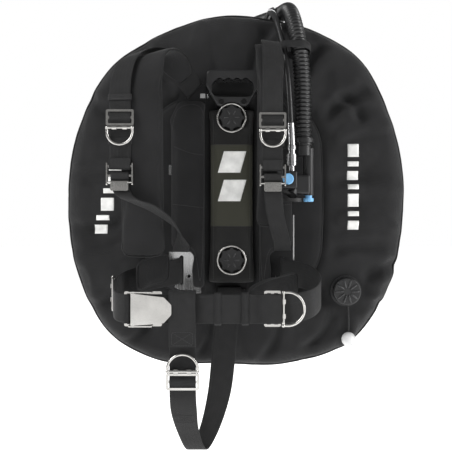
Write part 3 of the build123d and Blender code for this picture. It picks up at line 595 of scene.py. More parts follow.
def build_belt():
    """The belt's two lengths: plate slot, hip slide, then the buckle."""
    end = BUCKLE_X0 - 4
    right = [station(p, UP, BELT) for p in (
        (-99, -6, -160), (-99, -26, -160), (-112, -40, -163), (-160, -58, -171), (-196, -82, -181),
        (-211, -104, -189))]
    right += threaded(HIP_RIGHT, (0, -1, 0), (-1, 0, 0), UP, BELT)
    right += [station(p, UP, BELT) for p in (
        (-212, -160, -204), (-203, -192, -212), (end - 3, INNER_Y, BELT_Z), (end + 4, INNER_Y, BELT_Z),
        (end + 4, BELT_Y, BELT_Z), (end - 6, BELT_Y, BELT_Z))]
    left = [station(p, UP, BELT) for p in (
        (99, -6, -160), (99, -26, -160), (114, -40, -163), (146, -62, -171), (162, -100, -184),
        (158, -148, -199), (138, -184, -209), (104, -203, BELT_Z))]
    left += threaded(HIP_LEFT, (-1, 0, 0), FRONT, UP, BELT)
    left += [station(p, UP, BELT) for p in (
        (48, -207.4, BELT_Z), (26, BELT_Y, BELT_Z), (BUCKLE_X0 + 8, BELT_Y, BELT_Z))]
    strap("waist_belt_right_side", right, "waist_belt_right")
    strap("waist_belt_left_side", left, "waist_belt_left")


def build_crotch():
    """The crotch strap, from the plate down, forward, up and over the belt."""
    rear = [station(p, ACROSS, w) for p, w in (
        ((-4, 8, CROTCH_SLOT_Z), CROTCH_W), ((-4, -12, CROTCH_SLOT_Z), CROTCH_W),
        ((-6, -34, -216), CROTCH_W), ((-14, -60, -300), CROTCH_W), ((-24, -74, -390), 44),
        ((-42, -82, -455), 38), ((-58, -92, -486), 36), ((-66, -110, -486), 36),
        ((-80, -150, -440), 40), ((-85, -182, -398), CROTCH_W), ((-86, -197, -371), CROTCH_W))]
    rear += threaded(CROTCH_SLIDE, UP, FRONT, ACROSS, CROTCH_W)
    rear += [station((CROTCH_X, y, z), ACROSS, CROTCH_W) for y, z in (
        (-201, -292), (-207, -246), (-207, -186), (-221, -186), (-221, -246), (-215.5, -280))]
    strap("crotch_strap_run", rear, "crotch_strap")
    total = lengths_along(strap_frames(rear)[0])[-1]
    box_stitch(rear, total - 26, total - 3, side=-1)
    lower = lengths_along(strap_frames(rear[:11])[0])[-1]
    box_stitch(rear, lower - 62, lower - 42, side=1)


def band_loop(name, node, centre, x_dir, y_dir, half_x, half_y, width, thickness, slot="elastic"):
    """A flat elastic band round a rounded rectangle, its width along the loop's axis."""
    centre, x_dir, y_dir = np.array(centre, float), unit(x_dir), unit(y_dir)
    axis = np.cross(x_dir, y_dir)
    radius = min(half_x, half_y) * 0.98
    angles = np.linspace(0, 2 * math.pi, 49)[:-1]
    line, normals = [], []
    for a in angles:
        corner = np.array([math.copysign(half_x - radius, math.cos(a)),
                           math.copysign(half_y - radius, math.sin(a))])
        spot = corner + radius * np.array([math.cos(a), math.sin(a)])
        line.append(centre + x_dir * spot[0] + y_dir * spot[1])
        normals.append(x_dir * math.cos(a) + y_dir * math.sin(a))
    section = [(-1, 0), (-0.93, 1), (0, 1.15), (0.93, 1), (1, 0), (0.93, -1), (0, -1), (-0.93, -1)]
    s = np.concatenate([lengths_along(np.array(line)), [0]])
    points, uvs = [], []
    for i, (p, n) in enumerate(zip(line, normals)):
        for u, k in section:
            points.append(p + axis * u * width / 2 + n * k * thickness / 2)
            uvs.append((u * width / 2, s[i]))
    obj = add_mesh(name, points, ring_faces(len(line), len(section), True), MATERIALS[slot], uvs)
    return attach(obj, slot, *([node] if node else []))


KEEPERS = ((-25.0, "right"), (22.0, "left"))


def build_bands():
    """The belt keepers and the band that holds both hoses."""
    for x, label in KEEPERS:
        nodes = "belt_keepers" if label == "right" else None
        band_loop("belt_keeper_" + label, nodes, (x, BELT_Y, BELT_Z), (0, 1, 0), UP, 3.3, 27.2, 12, 1.5)
    band_loop("hose_band", "hose_retainer", (121.5, -37, 272), ACROSS, (0, -1, 0.34), 31.7, 21.0,
              16, 2.2)


# ---------------------------------------------------------------- padded pieces
def puff(obj, pressure, cap, spread=0.0, frames=20):
    """Fills a closed mesh with air by a cloth simulation; no point moves more than cap."""
    mesh = obj.data
    start = np.array([v.co for v in mesh.vertices], float)
    cloth = obj.modifiers.new("Cloth", "CLOTH")
    settings = cloth.settings
    settings.quality = 5
    settings.mass = 0.25
    settings.use_pressure = True
    settings.uniform_pressure_force = pressure
    settings.shrink_min = -spread
    settings.tension_stiffness = 12
    settings.compression_stiffness = 12
    settings.bending_stiffness = 0.4
    settings.effector_weights.gravity = 0
    cloth.point_cache.frame_start = 1
    cloth.point_cache.frame_end = frames
    for number in range(1, frames + 1):
        bpy.context.scene.frame_set(number)
    shown = obj.evaluated_get(bpy.context.evaluated_depsgraph_get())
    moved = np.array([v.co for v in shown.data.vertices], float) - start
    obj.modifiers.remove(cloth)
    bpy.context.scene.frame_set(1)
    size = np.linalg.norm(moved, axis=1, keepdims=True)
    moved *= np.minimum(1, cap * MM / np.maximum(size, 1e-9))
    mesh.vertices.foreach_set("co", (start + moved).ravel())
    mesh.update()


def refine(obj, levels=1):
    """A subdivision that rounds a piece as it is shown."""
    modifier = obj.modifiers.new("Subdivision", "SUBSURF")
    modifier.levels = modifier.render_levels = levels
    return obj


def points_of(obj):
    """An object's own points, in millimetres."""
    return np.array([v.co for v in obj.data.vertices], float) / MM


PROFILE_SIDES = 28
# the filled form starts this far inside its outline, and its ends close over three rings
PAD_INSET, END_RINGS = 1.2, 3
# how square the section is across and through the pad: 1 is an ellipse
SQUARE_ACROSS, SQUARE_THROUGH = 0.7, 0.55
PIPING_R = 1.5


def long_pad(name, node, stations, thickness, material="pad_fabric", cap=4.0):
    """A strap-shaped pad: rounded rings along its length, filled, with piped edges."""
    rows = smooth_line(stations, 7.0)
    left, right = rows[:, :3], rows[:, 3:]
    middle, across = (left + right) / 2, right - left
    along = unit(np.gradient(middle, axis=0))
    normal = unit(np.cross(across, along))
    half = np.linalg.norm(across, axis=1) / 2 - PAD_INSET
    across = unit(across)
    angles = np.arange(PROFILE_SIDES) * 2 * math.pi / PROFILE_SIDES
    c, s = np.cos(angles), np.sin(angles)
    flat = np.sign(c) * np.abs(c) ** SQUARE_ACROSS
    thick = np.sign(s) * np.abs(s) ** SQUARE_THROUGH * (thickness / 2 - PAD_INSET)
    count = len(middle)
    from_end = np.minimum(np.arange(count), count - 1 - np.arange(count))
    inset = np.minimum(1, (from_end + PAD_INSET) / END_RINGS)
    points = []
    for i in range(count):
        width = half[i] * inset[i] ** 0.25
        points.append(middle[i] + np.outer(flat * width, across[i])
                      + np.outer(thick * inset[i] ** 0.6, normal[i]))
    points = np.concatenate(points)
    faces = ring_faces(count, PROFILE_SIDES)
    for ring, order in ((0, -1), (count - 1, 1)):
        start = ring * PROFILE_SIDES
        middle_point = len(points)
        points = np.vstack([points, points[start:start + PROFILE_SIDES].mean(0)])
        for j in range(PROFILE_SIDES):
            k = (j + 1) % PROFILE_SIDES
            faces.append((start + j, start + k, middle_point)[::order])
    obj = add_mesh(name, points, faces, MATERIALS[material])
    puff(obj, 4.0, cap)
    shaped = points_of(obj)
    refine(obj)
    attach(obj, material, node)
    sides = [shaped[k:count * PROFILE_SIDES:PROFILE_SIDES] for k in (0, PROFILE_SIDES // 2)]
    loop = np.vstack([sides[0], sides[1][::-1]])
    piping = tube(name + "_piping", smooth_line(loop, 4.0, True), PIPING_R, MATERIALS["webbing"],
                  8, True)
    attach(piping, "webbing")
    for k in (2, PROFILE_SIDES // 2 - 2):
        row = shaped[k:count * PROFILE_SIDES:PROFILE_SIDES][1:-1]
        stitch_row(row, normal[1:-1])
    return obj


def cushion(name, node, slot, voxel=4.5, cap=4.0, inset=0.8, pressure=4.0):
    """The padded form of a CAD node: remeshed, drawn in a little, then filled."""
    source = frame["nodes"][node]
    obj = placed(name, coated(source.data.copy(), MATERIALS[slot]))
    remesh = obj.modifiers.new("Remesh", "REMESH")
    remesh.mode = "VOXEL"
    remesh.voxel_size = voxel * MM
    shown = obj.evaluated_get(bpy.context.evaluated_depsgraph_get())
    obj.data = bpy.data.meshes.new_from_object(shown)
    obj.data.name = name
    obj.modifiers.clear()
    obj.data.polygons.foreach_set("use_smooth", [True] * len(obj.data.polygons))
    work = bmesh.new()
    work.from_mesh(obj.data)
    for _ in range(3):
        bmesh.ops.smooth_vert(work, verts=work.verts, factor=0.5, use_axis_x=True,
                              use_axis_y=True, use_axis_z=True)
    work.normal_update()
    for vertex in work.verts:
        vertex.co -= vertex.normal * inset * MM
    store(work, obj.data)
    puff(obj, pressure, cap)
    refine(obj)
    attach(obj, slot, node)
    return obj


def surface_of(obj):
    """A tree of an object's shown faces, in metres, for laying things on it."""
    shown = obj.evaluated_get(bpy.context.evaluated_depsgraph_get())
    mesh = shown.to_mesh()
    tree = BVHTree.FromPolygons([v.co.copy() for v in mesh.vertices],
                                [tuple(p.vertices) for p in mesh.polygons])
    shown.to_mesh_clear()
    return tree


def laid_on(tree, x, z, y_start, lift, direction=1):
    """The point of a surface that a straight look along Y meets first, lifted off it."""
    hit = tree.ray_cast(Vector((x * MM, y_start * MM, z * MM)), Vector((0, direction, 0)))
    if hit[0] is None:
        return None, None
    return np.array(hit[0]) / MM + np.array(hit[1]) * lift, np.array(hit[1])


def seam_on(tree, outline, y_start, closed=False, direction=1):
    """A row of stitches laid over a surface along an outline drawn in X and Z."""
    flat = np.array([(x, 0, z) for x, z in outline], float)
    line = smooth_line(flat, 4.0, closed) if len(flat) > 2 else resample(flat, 4.0)[0]
    spots = [laid_on(tree, p[0], p[2], y_start, 0.0, direction) for p in line]
    spots = [s for s in spots if s[0] is not None]
    if len(spots) > 2:
        stitch_row(np.array([a for a, b in spots]), np.array([b for a, b in spots]))


def printed_patch(tree, corners, y_start, step=3.0, lift=0.35):
    """A flat printed shape between four corners in X and Z, laid over a surface."""
    corners = np.array(corners, float)
    n = max(2, int(np.linalg.norm(corners[1] - corners[0]) / step) + 1)
    m = max(2, int(np.linalg.norm(corners[3] - corners[0]) / step) + 1)
    points, rows = [], []
    for v in np.linspace(0, 1, m):
        for u in np.linspace(0, 1, n):
            x, z = ((1 - u) * (1 - v) * corners[0] + u * (1 - v) * corners[1]
                    + u * v * corners[2] + (1 - u) * v * corners[3])
            spot, normal = laid_on(tree, x, z, y_start, lift)
            if spot is None:
                return None
            points.append(spot)
            rows.append(spot - normal * (lift + 0.25))
    faces = []
    for j in range(m - 1):
        for i in range(n - 1):
            a = j * n + i
            faces.append((a, a + 1, a + n + 1, a + n))
            faces.append(tuple(n * m + q for q in (a + n, a + n + 1, a + 1, a)))
    rim = ([(i, i + 1) for i in range(n - 1)]
           + [(j * n + n - 1, (j + 1) * n + n - 1) for j in range(m - 1)]
           + [((m - 1) * n + i + 1, (m - 1) * n + i) for i in range(n - 1)]
           + [((j + 1) * n, j * n) for j in range(m - 1)])
    for a, b in rim:
        faces.append((b, a, n * m + a, n * m + b))
    return points + rows, faces


# ---------------------------------------------------------------- air cell
WING_FRONT, WING_DEPTH = 7.0, 70.0
WING_MIDDLE = WING_FRONT + WING_DEPTH / 2
WING_EDGE = [
    (-11, 361), (96, 349), (188, 318), (262, 264), (318, 172), (350, 60), (352, -70),
    (324, -196), (248, -304), (120, -354), (-30, -356), (-150, -347), (-252, -288),
    (-318, -168), (-336, -10), (-314, 128), (-240, 256), (-130, 328),
]
HOLE_CENTRE = (2.5, -15.0)
HOLE_HALF = (157.5, 180.0)
HOLE_CORNER_R = 95.0
WING_RINGS = 288
WING_SIDES = 60
WING_INSET, WING_OVERHANG = 4.0, 2.0
WING_CORNER_R = 27.0
BLADDER_GAP = 3.0
DUMP = (230.0, -203.0)
ELBOW = (44.0, 296.0)
# The fabric stays behind the plate within PLATE_HALF of the middle.
PLATE_HALF, BEHIND_PLATE = 130.0, 6.6
FOLD_GAIN, RIPPLE_GAIN, FOLD_LIMIT = 2.2, 1.8, 6.0
# Soft folds of the slack fabric: from, to, how deep and how wide.
FOLDS = [
    ((255, -190), (352, -150), -7, 11), ((262, -214), (330, -228), 6, 10),
    ((190, -190), (120, -240), -6, 13), ((210, -236), (150, -320), -6, 12),
    ((238, -236), (225, -330), 5, 10), ((96, -250), (60, -340), -5, 12),
    ((20, -262), (40, -345), 4, 11), ((-40, -255), (-70, -340), -5, 12),
    ((-150, -240), (-210, -310), -6, 13), ((-190, -190), (-285, -235), -6, 12),
    ((-205, -120), (-318, -140), 5, 12), ((-210, -60), (-325, -75), -5, 11),
    ((-200, 40), (-318, 30), -4, 12), ((-215, 150), (-290, 190), -5, 12),
    ((-120, 210), (-180, 300), -6, 13), ((-40, 220), (-60, 345), 5, 12),
    ((40, 225), (90, 335), -5, 12), ((130, 210), (190, 300), -6, 13),
    ((190, 150), (285, 200), -7, 12), ((215, 110), (325, 130), 5, 12),
    ((220, 190), (262, 130), -5, 10), ((205, 20), (340, 15), -4, 13),
    ((205, -60), (345, -80), 5, 12), ((200, -120), (340, -120), -4, 12),
]


def polar(points):
    """Angles round the air cell's centre in rising order, and the radius at each."""
    p = np.asarray(points, float) - HOLE_CENTRE
    angle = np.arctan2(p[:, 1], p[:, 0])
    order = np.argsort(angle)
    return angle[order], np.hypot(p[:, 0], p[:, 1])[order]


def hole_edge():
    """Points close together round the rounded hole."""
    points = []
    for a in np.linspace(0, 2 * math.pi, 720, endpoint=False):
        c, s = math.cos(a), math.sin(a)
        points.append([middle + math.copysign(half - HOLE_CORNER_R, way) + HOLE_CORNER_R * way
                       for middle, half, way in zip(HOLE_CENTRE, HOLE_HALF, (c, s))])
    closed = np.array([(x, 0, z) for x, z in points])
    gaps = np.linalg.norm(np.roll(closed, -1, 0) - closed, axis=1)
    filled = []
    for p, q, gap in zip(closed, np.roll(closed, -1, 0), gaps):
        for t in np.linspace(0, 1, max(1, int(gap / 3)), endpoint=False):
            filled.append(p + (q - p) * t)
    return np.array(filled)[:, [0, 2]]


def rounded_section(half_w, half_d, radius, sides):
    """Points evenly spread round a rounded rectangle, from its outer middle."""
    line = []
    for a in np.linspace(0, 2 * math.pi, 241):
        c, s = math.cos(a), math.sin(a)
        line.append((math.copysign(half_w - radius, c) + radius * c,
                     math.copysign(half_d - radius, s) + radius * s, 0))
    line = np.array(line)
    s = lengths_along(line)
    at = np.arange(sides) * s[-1] / sides
    spots = np.stack([np.interp(at, s, line[:, k]) for k in (0, 1)], 1)
    return spots


def fold_height(x, z):
    """How far the folds lift the fabric at each place."""
    height = np.zeros_like(x)
    for (x0, z0), (x1, z1), depth, width in FOLDS:
        dx, dz = x1 - x0, z1 - z0
        size = math.hypot(dx, dz)
        t = ((x - x0) * dx + (z - z0) * dz) / size**2
        bend = 10 * np.sin(np.clip(t, 0, 1) * math.pi)
        off = ((x - x0) * dz - (z - z0) * dx) / size + bend
        fade = np.exp(-np.clip(np.abs(t - 0.5) - 0.3, 0, None) ** 2 / 0.03)
        ridge = np.exp(-(off / width) ** 2)
        shoulder = np.exp(-((off - 1.6 * width) / width) ** 2)
        height += depth * fade * (ridge - 0.5 * shoulder)
    return height


def build_wing():
    """The air cell: an inflated ring with folds, edge piping and its bladder."""
    edge = smooth_line([(x, 0, z) for x, z in WING_EDGE], 6.0, True)[:, [0, 2]]
    angles = np.linspace(-math.pi, math.pi, WING_RINGS, endpoint=False)
    outer = np.interp(angles, *polar(edge), period=2 * math.pi) + WING_OVERHANG
    inner = np.interp(angles, *polar(hole_edge()), period=2 * math.pi) + WING_INSET
    points = []
    for a, r0, r1 in zip(angles, inner, outer):
        section = rounded_section((r1 - r0) / 2, WING_DEPTH / 2 - WING_INSET,
                                  WING_CORNER_R, WING_SIDES)
        reach = (r0 + r1) / 2 + section[:, 0]
        points.append(np.stack([HOLE_CENTRE[0] + reach * math.cos(a), WING_MIDDLE - section[:, 1],
                                HOLE_CENTRE[1] + reach * math.sin(a)], 1))
    points = np.concatenate(points)
    obj = add_mesh("wing", points, ring_faces(WING_RINGS, WING_SIDES, True), MATERIALS["wing_fabric"])
    puff(obj, 3.0, 7.0, spread=0.035)
    shape_wing(obj)
    seam = points_of(obj)[::WING_SIDES]
    refine(obj)
    attach(obj, "wing_fabric", "wing_shell")
    push = unit(seam - (HOLE_CENTRE[0], WING_MIDDLE, HOLE_CENTRE[1])) * 1.0
    edge_piping = tube("wing_edge_piping", smooth_line(seam + push, 6.0, True), 2.2,
                       MATERIALS["webbing"], 10, True)
    attach(edge_piping, "wing_fabric")
    build_bladder(obj)
    return obj


def shape_wing(obj):
    """Folds, small ripples, and flat seats under the valve and the elbow."""
    p = points_of(obj)
    normals = np.array([v.normal for v in obj.data.vertices], float)
    facing = np.abs(normals[:, 1]) ** 0.5
    front = p[:, 1] < WING_MIDDLE
    height = fold_height(p[:, 0] * np.where(front, 1, 0.93), p[:, 2] * np.where(front, 1, 0.95))
    ripple = np.array([2.2 * noise.noise(Vector(q) / 60) + 1.0 * noise.noise(Vector(q) / 22)
                       for q in p])
    height = np.minimum(FOLD_GAIN * height + RIPPLE_GAIN * ripple, FOLD_LIMIT)
    p += normals * (height * facing)[:, None]
    near = np.abs(p[:, 0]) < PLATE_HALF
    p[:, 1] = np.where(front & near, np.maximum(p[:, 1], BEHIND_PLATE), p[:, 1])
    p[:, 1] = np.clip(p[:, 1], 0.5, WING_FRONT + WING_DEPTH + FOLD_LIMIT)
    for (x, z), seat, flat, is_front in ((DUMP, 7.2, 34, True), (ELBOW, 76.9, 33, False)):
        away = np.hypot(p[:, 0] - x, p[:, 2] - z)
        weight = np.clip((away - flat) / 26, 0, 1)
        weight = weight * weight * (3 - 2 * weight)
        here = (front == is_front) & (away < flat + 26)
        p[:, 1] = np.where(here, seat + (p[:, 1] - seat) * weight, p[:, 1])
    obj.data.vertices.foreach_set("co", (p * MM).ravel())
    obj.data.update()


def build_bladder(wing):
    """The film bladder that lies just inside the fabric."""
    mesh = coated(wing.data.copy(), MATERIALS["bladder_film"])
    p = np.array([v.co for v in mesh.vertices], float)
    n = np.array([v.normal for v in mesh.vertices], float)
    mesh.vertices.foreach_set("co", (p - n * BLADDER_GAP * MM).ravel())
    attach(placed("bladder_film", mesh), "bladder_film", "wing_bladder")


# the height of each printed block from the top down, and the gap under it
MARK_BLOCKS, MARK_GAP = (26, 10, 18, 10, 26, 10, 18), 9
# a straight look at the fabric starts this far in front of the plate
LOOK_FROM = -80


def build_marks(wing):
    """Plain white blocks printed down each side of the air cell, with no lettering."""
    tree = surface_of(wing)
    for name, x, top, width, slant in (("right", -224.0, 84.0, 26.0, 10.0),
                                       ("left", 244.0, 92.0, 22.0, 0.0)):
        pieces = []
        z = top
        for tall in MARK_BLOCKS:
            shift = -slant * (top - z) / 40
            x0, x1 = x + shift - width / 2, x + shift + width / 2
            corners = [(x0, z - tall), (x1, z - tall), (x1, z), (x0, z)]
            patch = printed_patch(tree, corners, LOOK_FROM)
            if patch:
                pieces.append(patch)
            z -= tall + MARK_GAP
        attach(joined("wing_mark_" + name, pieces, PRINT), "wing_fabric")


# how far the panel laps over the wing round its hole, and how far that lap bends back
PANEL_LAP = 24.0
PANEL_BEND = 4.5
PANEL_FACES = (4.3, 5.9)
BOLT_Z, BOLT_CLEARANCE = 139.7, 12.0


def build_center_panel():
    """The fabric panel that closes the hole behind the plate, with bound edges."""
    angles = np.linspace(-math.pi, math.pi, 160, endpoint=False)
    reach = np.interp(angles, *polar(hole_edge()), period=2 * math.pi) + PANEL_LAP
    rings = 26
    sides = len(angles)
    points = []
    for face in PANEL_FACES:
        for k in range(1, rings + 1):
            share = k / rings
            x = HOLE_CENTRE[0] + reach * share * np.cos(angles)
            z = HOLE_CENTRE[1] + reach * share * np.sin(angles)
            pucker = [0.5 * noise.noise(Vector((a / 26, b / 40, 3))) for a, b in zip(x, z)]
            bend = np.clip((reach * share - reach + PANEL_LAP) / PANEL_LAP, 0, 1) ** 2 * PANEL_BEND
            y = face + np.array(pucker) * math.sin(share * math.pi) + bend
            points.append(np.stack([x, y, z], 1))
    points = np.concatenate(points)
    half = rings * sides
    faces = ring_faces(rings, sides) + [tuple(half + i for i in f[::-1])
                                        for f in ring_faces(rings, sides)]
    a, b = (rings - 1) * sides, half + (rings - 1) * sides
    faces += [(a + j, a + (j + 1) % sides, b + (j + 1) % sides, b + j) for j in range(sides)]
    faces += [tuple(range(sides))[::-1], tuple(range(half, half + sides))]
    bolt = np.array([(0, BOLT_Z), (0, -BOLT_Z)])
    centres = [points[list(f)].mean(0)[[0, 2]] for f in faces]
    faces = [f for f, c in zip(faces, centres) if np.linalg.norm(bolt - c, axis=1).min() > BOLT_CLEARANCE]
    obj = add_mesh("centre_panel", points, faces, MATERIALS["panel_fabric"])
    attach(obj, "panel_fabric", "wing_center_panel")
    rim = points[(rings - 1) * sides:rings * sides] + (0, 0.8, 0)
    attach(tube("centre_panel_binding", rim, 2.0, MATERIALS["webbing"], 8, True), "panel_fabric")


# ---------------------------------------------------------------- cords
HOSE_ROUTE = [
    (84, 92, 368), (104, 82, 373), (115, 53, 374), (118, 20, 363), (122, -9, 339),
    (127, -27, 308), (132, -38, 274), (135.5, -45, 237), (137, -50, 199), (137, -54, 161),
    (137, -57, 122), (138, -58, 82),
]
LP_ROUTE = [
    (112, -74, 122), (110.5, -71, 160), (108.5, -64, 200), (106, -52, 238), (102.5, -35, 274),
    (95, -16, 312), (88, 2, 347), (80, 33, 367), (75, 61, 362), (72, 79, 349), (71, 89, 326),
    (71, 93, 294), (73, 96, 258), (79, 97, 220), (81, 96, 182), (77, 95, 144), (70, 96, 108),
]
DUMP_CORD_ROUTE = [(232, -7, -216), (232, -7, -236), (234, -7, -260), (233, -7, -284)]
HOSE_R, LP_R, DUMP_CORD_R = 17.0, 6.0, 1.5
RIB_PITCH, RIB_DEPTH, CUFF = 8.0, 2.9, 15.0


def route_curve(name, route, bevel=0.0, material=None):
    """A smooth cord whose control points are the route's."""
    curve = bpy.data.curves.new(name, "CURVE")
    curve.dimensions = "3D"
    spline = curve.splines.new("NURBS")
    spline.points.add(len(route) - 1)
    for point, spot in zip(spline.points, route):
        point.co = (*(v * MM for v in spot), 1)
    spline.order_u = 3
    spline.use_endpoint_u = True
    spline.resolution_u = 16
    curve.bevel_depth = bevel * MM
    curve.bevel_resolution = 6
    curve.use_fill_caps = bevel > 0
    if material:
        curve.materials.append(material)
    return placed(name, curve)


def route_line(name, route):
    """Points along a route's smooth line, in millimetres."""
    guide = route_curve(name + "_guide", route)
    mesh = bpy.data.meshes.new_from_object(guide)
    line = np.array([v.co for v in mesh.vertices], float) / MM
    bpy.data.objects.remove(guide)
    return line


def build_cords():
    """The ribbed hose, the low-pressure hose and the dump valve's pull cord."""
    line, s = resample(route_line("hose", HOSE_ROUTE), 0.8)
    wave = 0.5 - 0.5 * np.cos(2 * math.pi * (s - CUFF) / RIB_PITCH)
    ribbed = (s > CUFF) & (s < s[-1] - CUFF)
    radii = np.where(ribbed, HOSE_R - RIB_DEPTH * wave**0.7, HOSE_R)
    hose = tube("ribbed_hose", line, radii, MATERIALS["hose_rubber"], 36)
    attach(hose, "hose_rubber", "corrugated_hose")
    lp = route_curve("low_pressure_hose", LP_ROUTE, LP_R, MATERIALS["hose_rubber"])
    attach(lp, "hose_rubber", "lp_hose")
    pull = route_curve("dump_pull_cord", DUMP_CORD_ROUTE, DUMP_CORD_R, MATERIALS["cord"])
    attach(pull, "cord", "dump_cord", body="dump_pull")


# ---------------------------------------------------------------- pads
HIP_PAD_RIGHT = [
    station((-122, -60, -152), UP, 56), station((-150, -74, -158), UP, 60),
    station((-176, -98, -168), UP, 56),
]
HIP_PAD_LEFT = [
    station((124, -68, -186), UP, 52), station((96, -96, -193), UP, 60),
    station((62, -128, -199), UP, 60), station((38, -154, -205), UP, 54),
    station((28, -174, -210), UP, 44),
]


def build_pads():
    """Shoulder, hip and back pads and the spine pad, with their seams."""
    long_pad("shoulder_pad_right", "right_shoulder_pad", RIGHT_PAD, PAD_T)
    long_pad("shoulder_pad_left", "left_shoulder_pad", LEFT_PAD, PAD_T)
    long_pad("hip_pad_right_cover", "hip_pad_right", HIP_PAD_RIGHT, 8.0, cap=3.0)
    long_pad("hip_pad_left_cover", "hip_pad_left", HIP_PAD_LEFT, 13.0, cap=3.0)
    for node, side in (("back_pad_right", -1), ("back_pad_left", 1)):
        pad = cushion("cushion_" + node, node, "pad_fabric")
        tree = surface_of(pad)
        edge = [(62, 160), (100, 160), (113, 134), (113, -108), (76, -118), (62, -180), (56, -60)]
        seam_on(tree, [(side * x, z) for x, z in edge], LOOK_FROM, closed=True)
        seam_on(tree, [(side * 52, 66), (side * 80, 70), (side * 116, 84)], LOOK_FROM)
        seam_on(tree, [(side * 52, -38), (side * 80, -34), (side * 116, -30)], LOOK_FROM)
    spine = cushion("spine_cushion", "spine_pad", "spine_fabric")
    tree = surface_of(spine)
    for x in (-36, 36):
        seam_on(tree, [(x, 150), (x, -178)], LOOK_FROM)
    for z in (87, -73):
        seam_on(tree, [(-36, z), (36, z)], LOOK_FROM)
    build_emblem(tree)


def build_emblem(tree):
    """A plain white mark on the spine pad: two stacked slanted blocks."""
    pieces = []
    for top in (74.0, 18.0):
        corners = [(-27, top - 42), (17, top - 42), (29, top), (-15, top)]
        patch = printed_patch(tree, corners, LOOK_FROM)
        if patch:
            pieces.append(patch)
    attach(joined("spine_mark", pieces, PRINT), "spine_fabric")


# ---------------------------------------------------------------- small trim
SLEEVE_T, SLEEVE_GAP = 0.6, 0.1
# where the steel stays bare: X and Z limits of each window, m
BARE_STEEL = ((-0.2, -0.06, -0.3, -0.124), (-0.2, -0.118, 0.028, 0.048),
              (-0.062, -0.046, 0.180, 0.189), (0.050, 0.056, 0.190, 0.215),
              (0.1215, 0.2, -0.141, -0.051))


def build_plate_sleeve():
    """The thin fabric sleeve over the plate's front, open at a few bare places."""
    mesh = coated(frame["nodes"]["backplate"].data.copy(), MATERIALS["pad_fabric"])
    work = bmesh.new()
    work.from_mesh(mesh)
    for x0, x1, z0, z1 in BARE_STEEL:
        for place, normal in (((x0, 0, 0), (1, 0, 0)), ((x1, 0, 0), (1, 0, 0)),
                              ((0, 0, z0), (0, 0, 1)), ((0, 0, z1), (0, 0, 1))):
            bmesh.ops.bisect_plane(work, geom=work.verts[:] + work.edges[:] + work.faces[:],
                                   plane_co=place, plane_no=normal)
    work.normal_update()
    unwanted = []
    for face in work.faces:
        spot = face.calc_center_median()
        bare = any(x0 < spot.x < x1 and z0 < spot.z < z1 for x0, x1, z0, z1 in BARE_STEEL)
        if face.normal.y > -0.3 or bare:
            unwanted.append(face)
    bmesh.ops.delete(work, geom=unwanted, context="FACES")
    bmesh.ops.remove_doubles(work, verts=work.verts, dist=0.00001)
    work.normal_update()
    for vertex in work.verts:
        vertex.co += vertex.normal * SLEEVE_GAP * MM
    store(work, mesh)
    obj = placed("plate_sleeve", mesh)
    solid = obj.modifiers.new("Thickness", "SOLIDIFY")
    solid.thickness = SLEEVE_T * MM
    solid.offset = 1.0
    attach(obj, "pad_fabric")


def keeper_on(name, stations, z, first):
    """An elastic keeper round a strap where it passes that height, after a station count."""
    middle, across, width, normal = strap_frames(stations)
    start = len(strap_frames(stations[:first])[0])
    i = start + int(np.argmin(np.abs(middle[start:start + 60, 2] - z)))
    band_loop(name, None, middle[i], across[i], normal[i], width[i] / 2 + 1.8, WEB_T / 2 + 1.3, 12, 1.2)


def build_shoulder_keepers():
    """The elastic keepers on the shoulder webbing."""
    right = shoulder_stations(-1, RIGHT_PAD, RIGHT_WEB, RIGHT_ON_PAD)
    left = shoulder_stations(1, LEFT_PAD, LEFT_WEB, LEFT_ON_PAD)
    keeper_on("shoulder_keeper_right", right, 158, 5)
    keeper_on("shoulder_keeper_right_lower", right, 80, 8)
    keeper_on("shoulder_keeper_left", left, 80, 8)


RIB_SIDES = 10


def ribbed_face(name, node, slot, count, heights, width, body="root"):
    """Raised ribs on the front of a round CAD piece: heights holds (radius, Y) from the face."""
    low, high = cad(node)
    x, z = (low[0] + high[0]) / 2, (low[2] + high[2]) / 2
    rings = len(heights)
    pieces = []
    for k in range(count):
        angle = 2 * math.pi * k / count
        out = np.array([math.cos(angle), 0, math.sin(angle)])
        line = np.array([np.array([x, low[1] + lift, z]) + out * r for r, lift in heights])
        thick = width * np.array([0.6] + [1.0] * (rings - 2) + [0.6])
        pieces.append((tube_points(line, thick, RIB_SIDES), capped_faces(rings, RIB_SIDES)))
    # the ribs carry the lighter plastic, a painted highlight
    attach(joined(name, pieces, RIB_PAINTED_HIGHLIGHT), slot, body=body)


def build_ribbed_faces():
    """Grip ribs on the dump valve's cover and on both thumbwheels."""
    ribbed_face("valve_ribs", "dump_valve_cover", "black_plastic", 10,
                ((7, 0.1), (10, -0.7), (15, -0.9), (20, -0.6), (24, 0.4)), 1.9)
    for wheel in ("upper_thumbwheel", "lower_thumbwheel"):
        ribbed_face(wheel + "_ribs", wheel, "black_plastic", 6,
                    ((6, 0.7), (8, 0.2), (11, 0.0), (14, 0.2), (16, 0.7)), 1.3, body=wheel)


def build_belt_layer():
    """The doubled end of the belt that lies over the left hip slide."""
    points = points_of(frame["nodes"]["hip_sliders"])
    points = points[points[:, 0] > 0]
    low, high = points.min(0), points.max(0)
    face = low[1] - WEB_T / 2 - 0.3
    layer = [station((x, y, BELT_Z), UP, BELT) for x, y in (
        (low[0] - 26, BELT_Y - WEB_T - 0.3), (low[0] - 12, BELT_Y - WEB_T - 0.3),
        (low[0] - 3, face), (high[0] - 9, face), (high[0] - 7.5, face))]
    strap("belt_end_layer", layer, None)


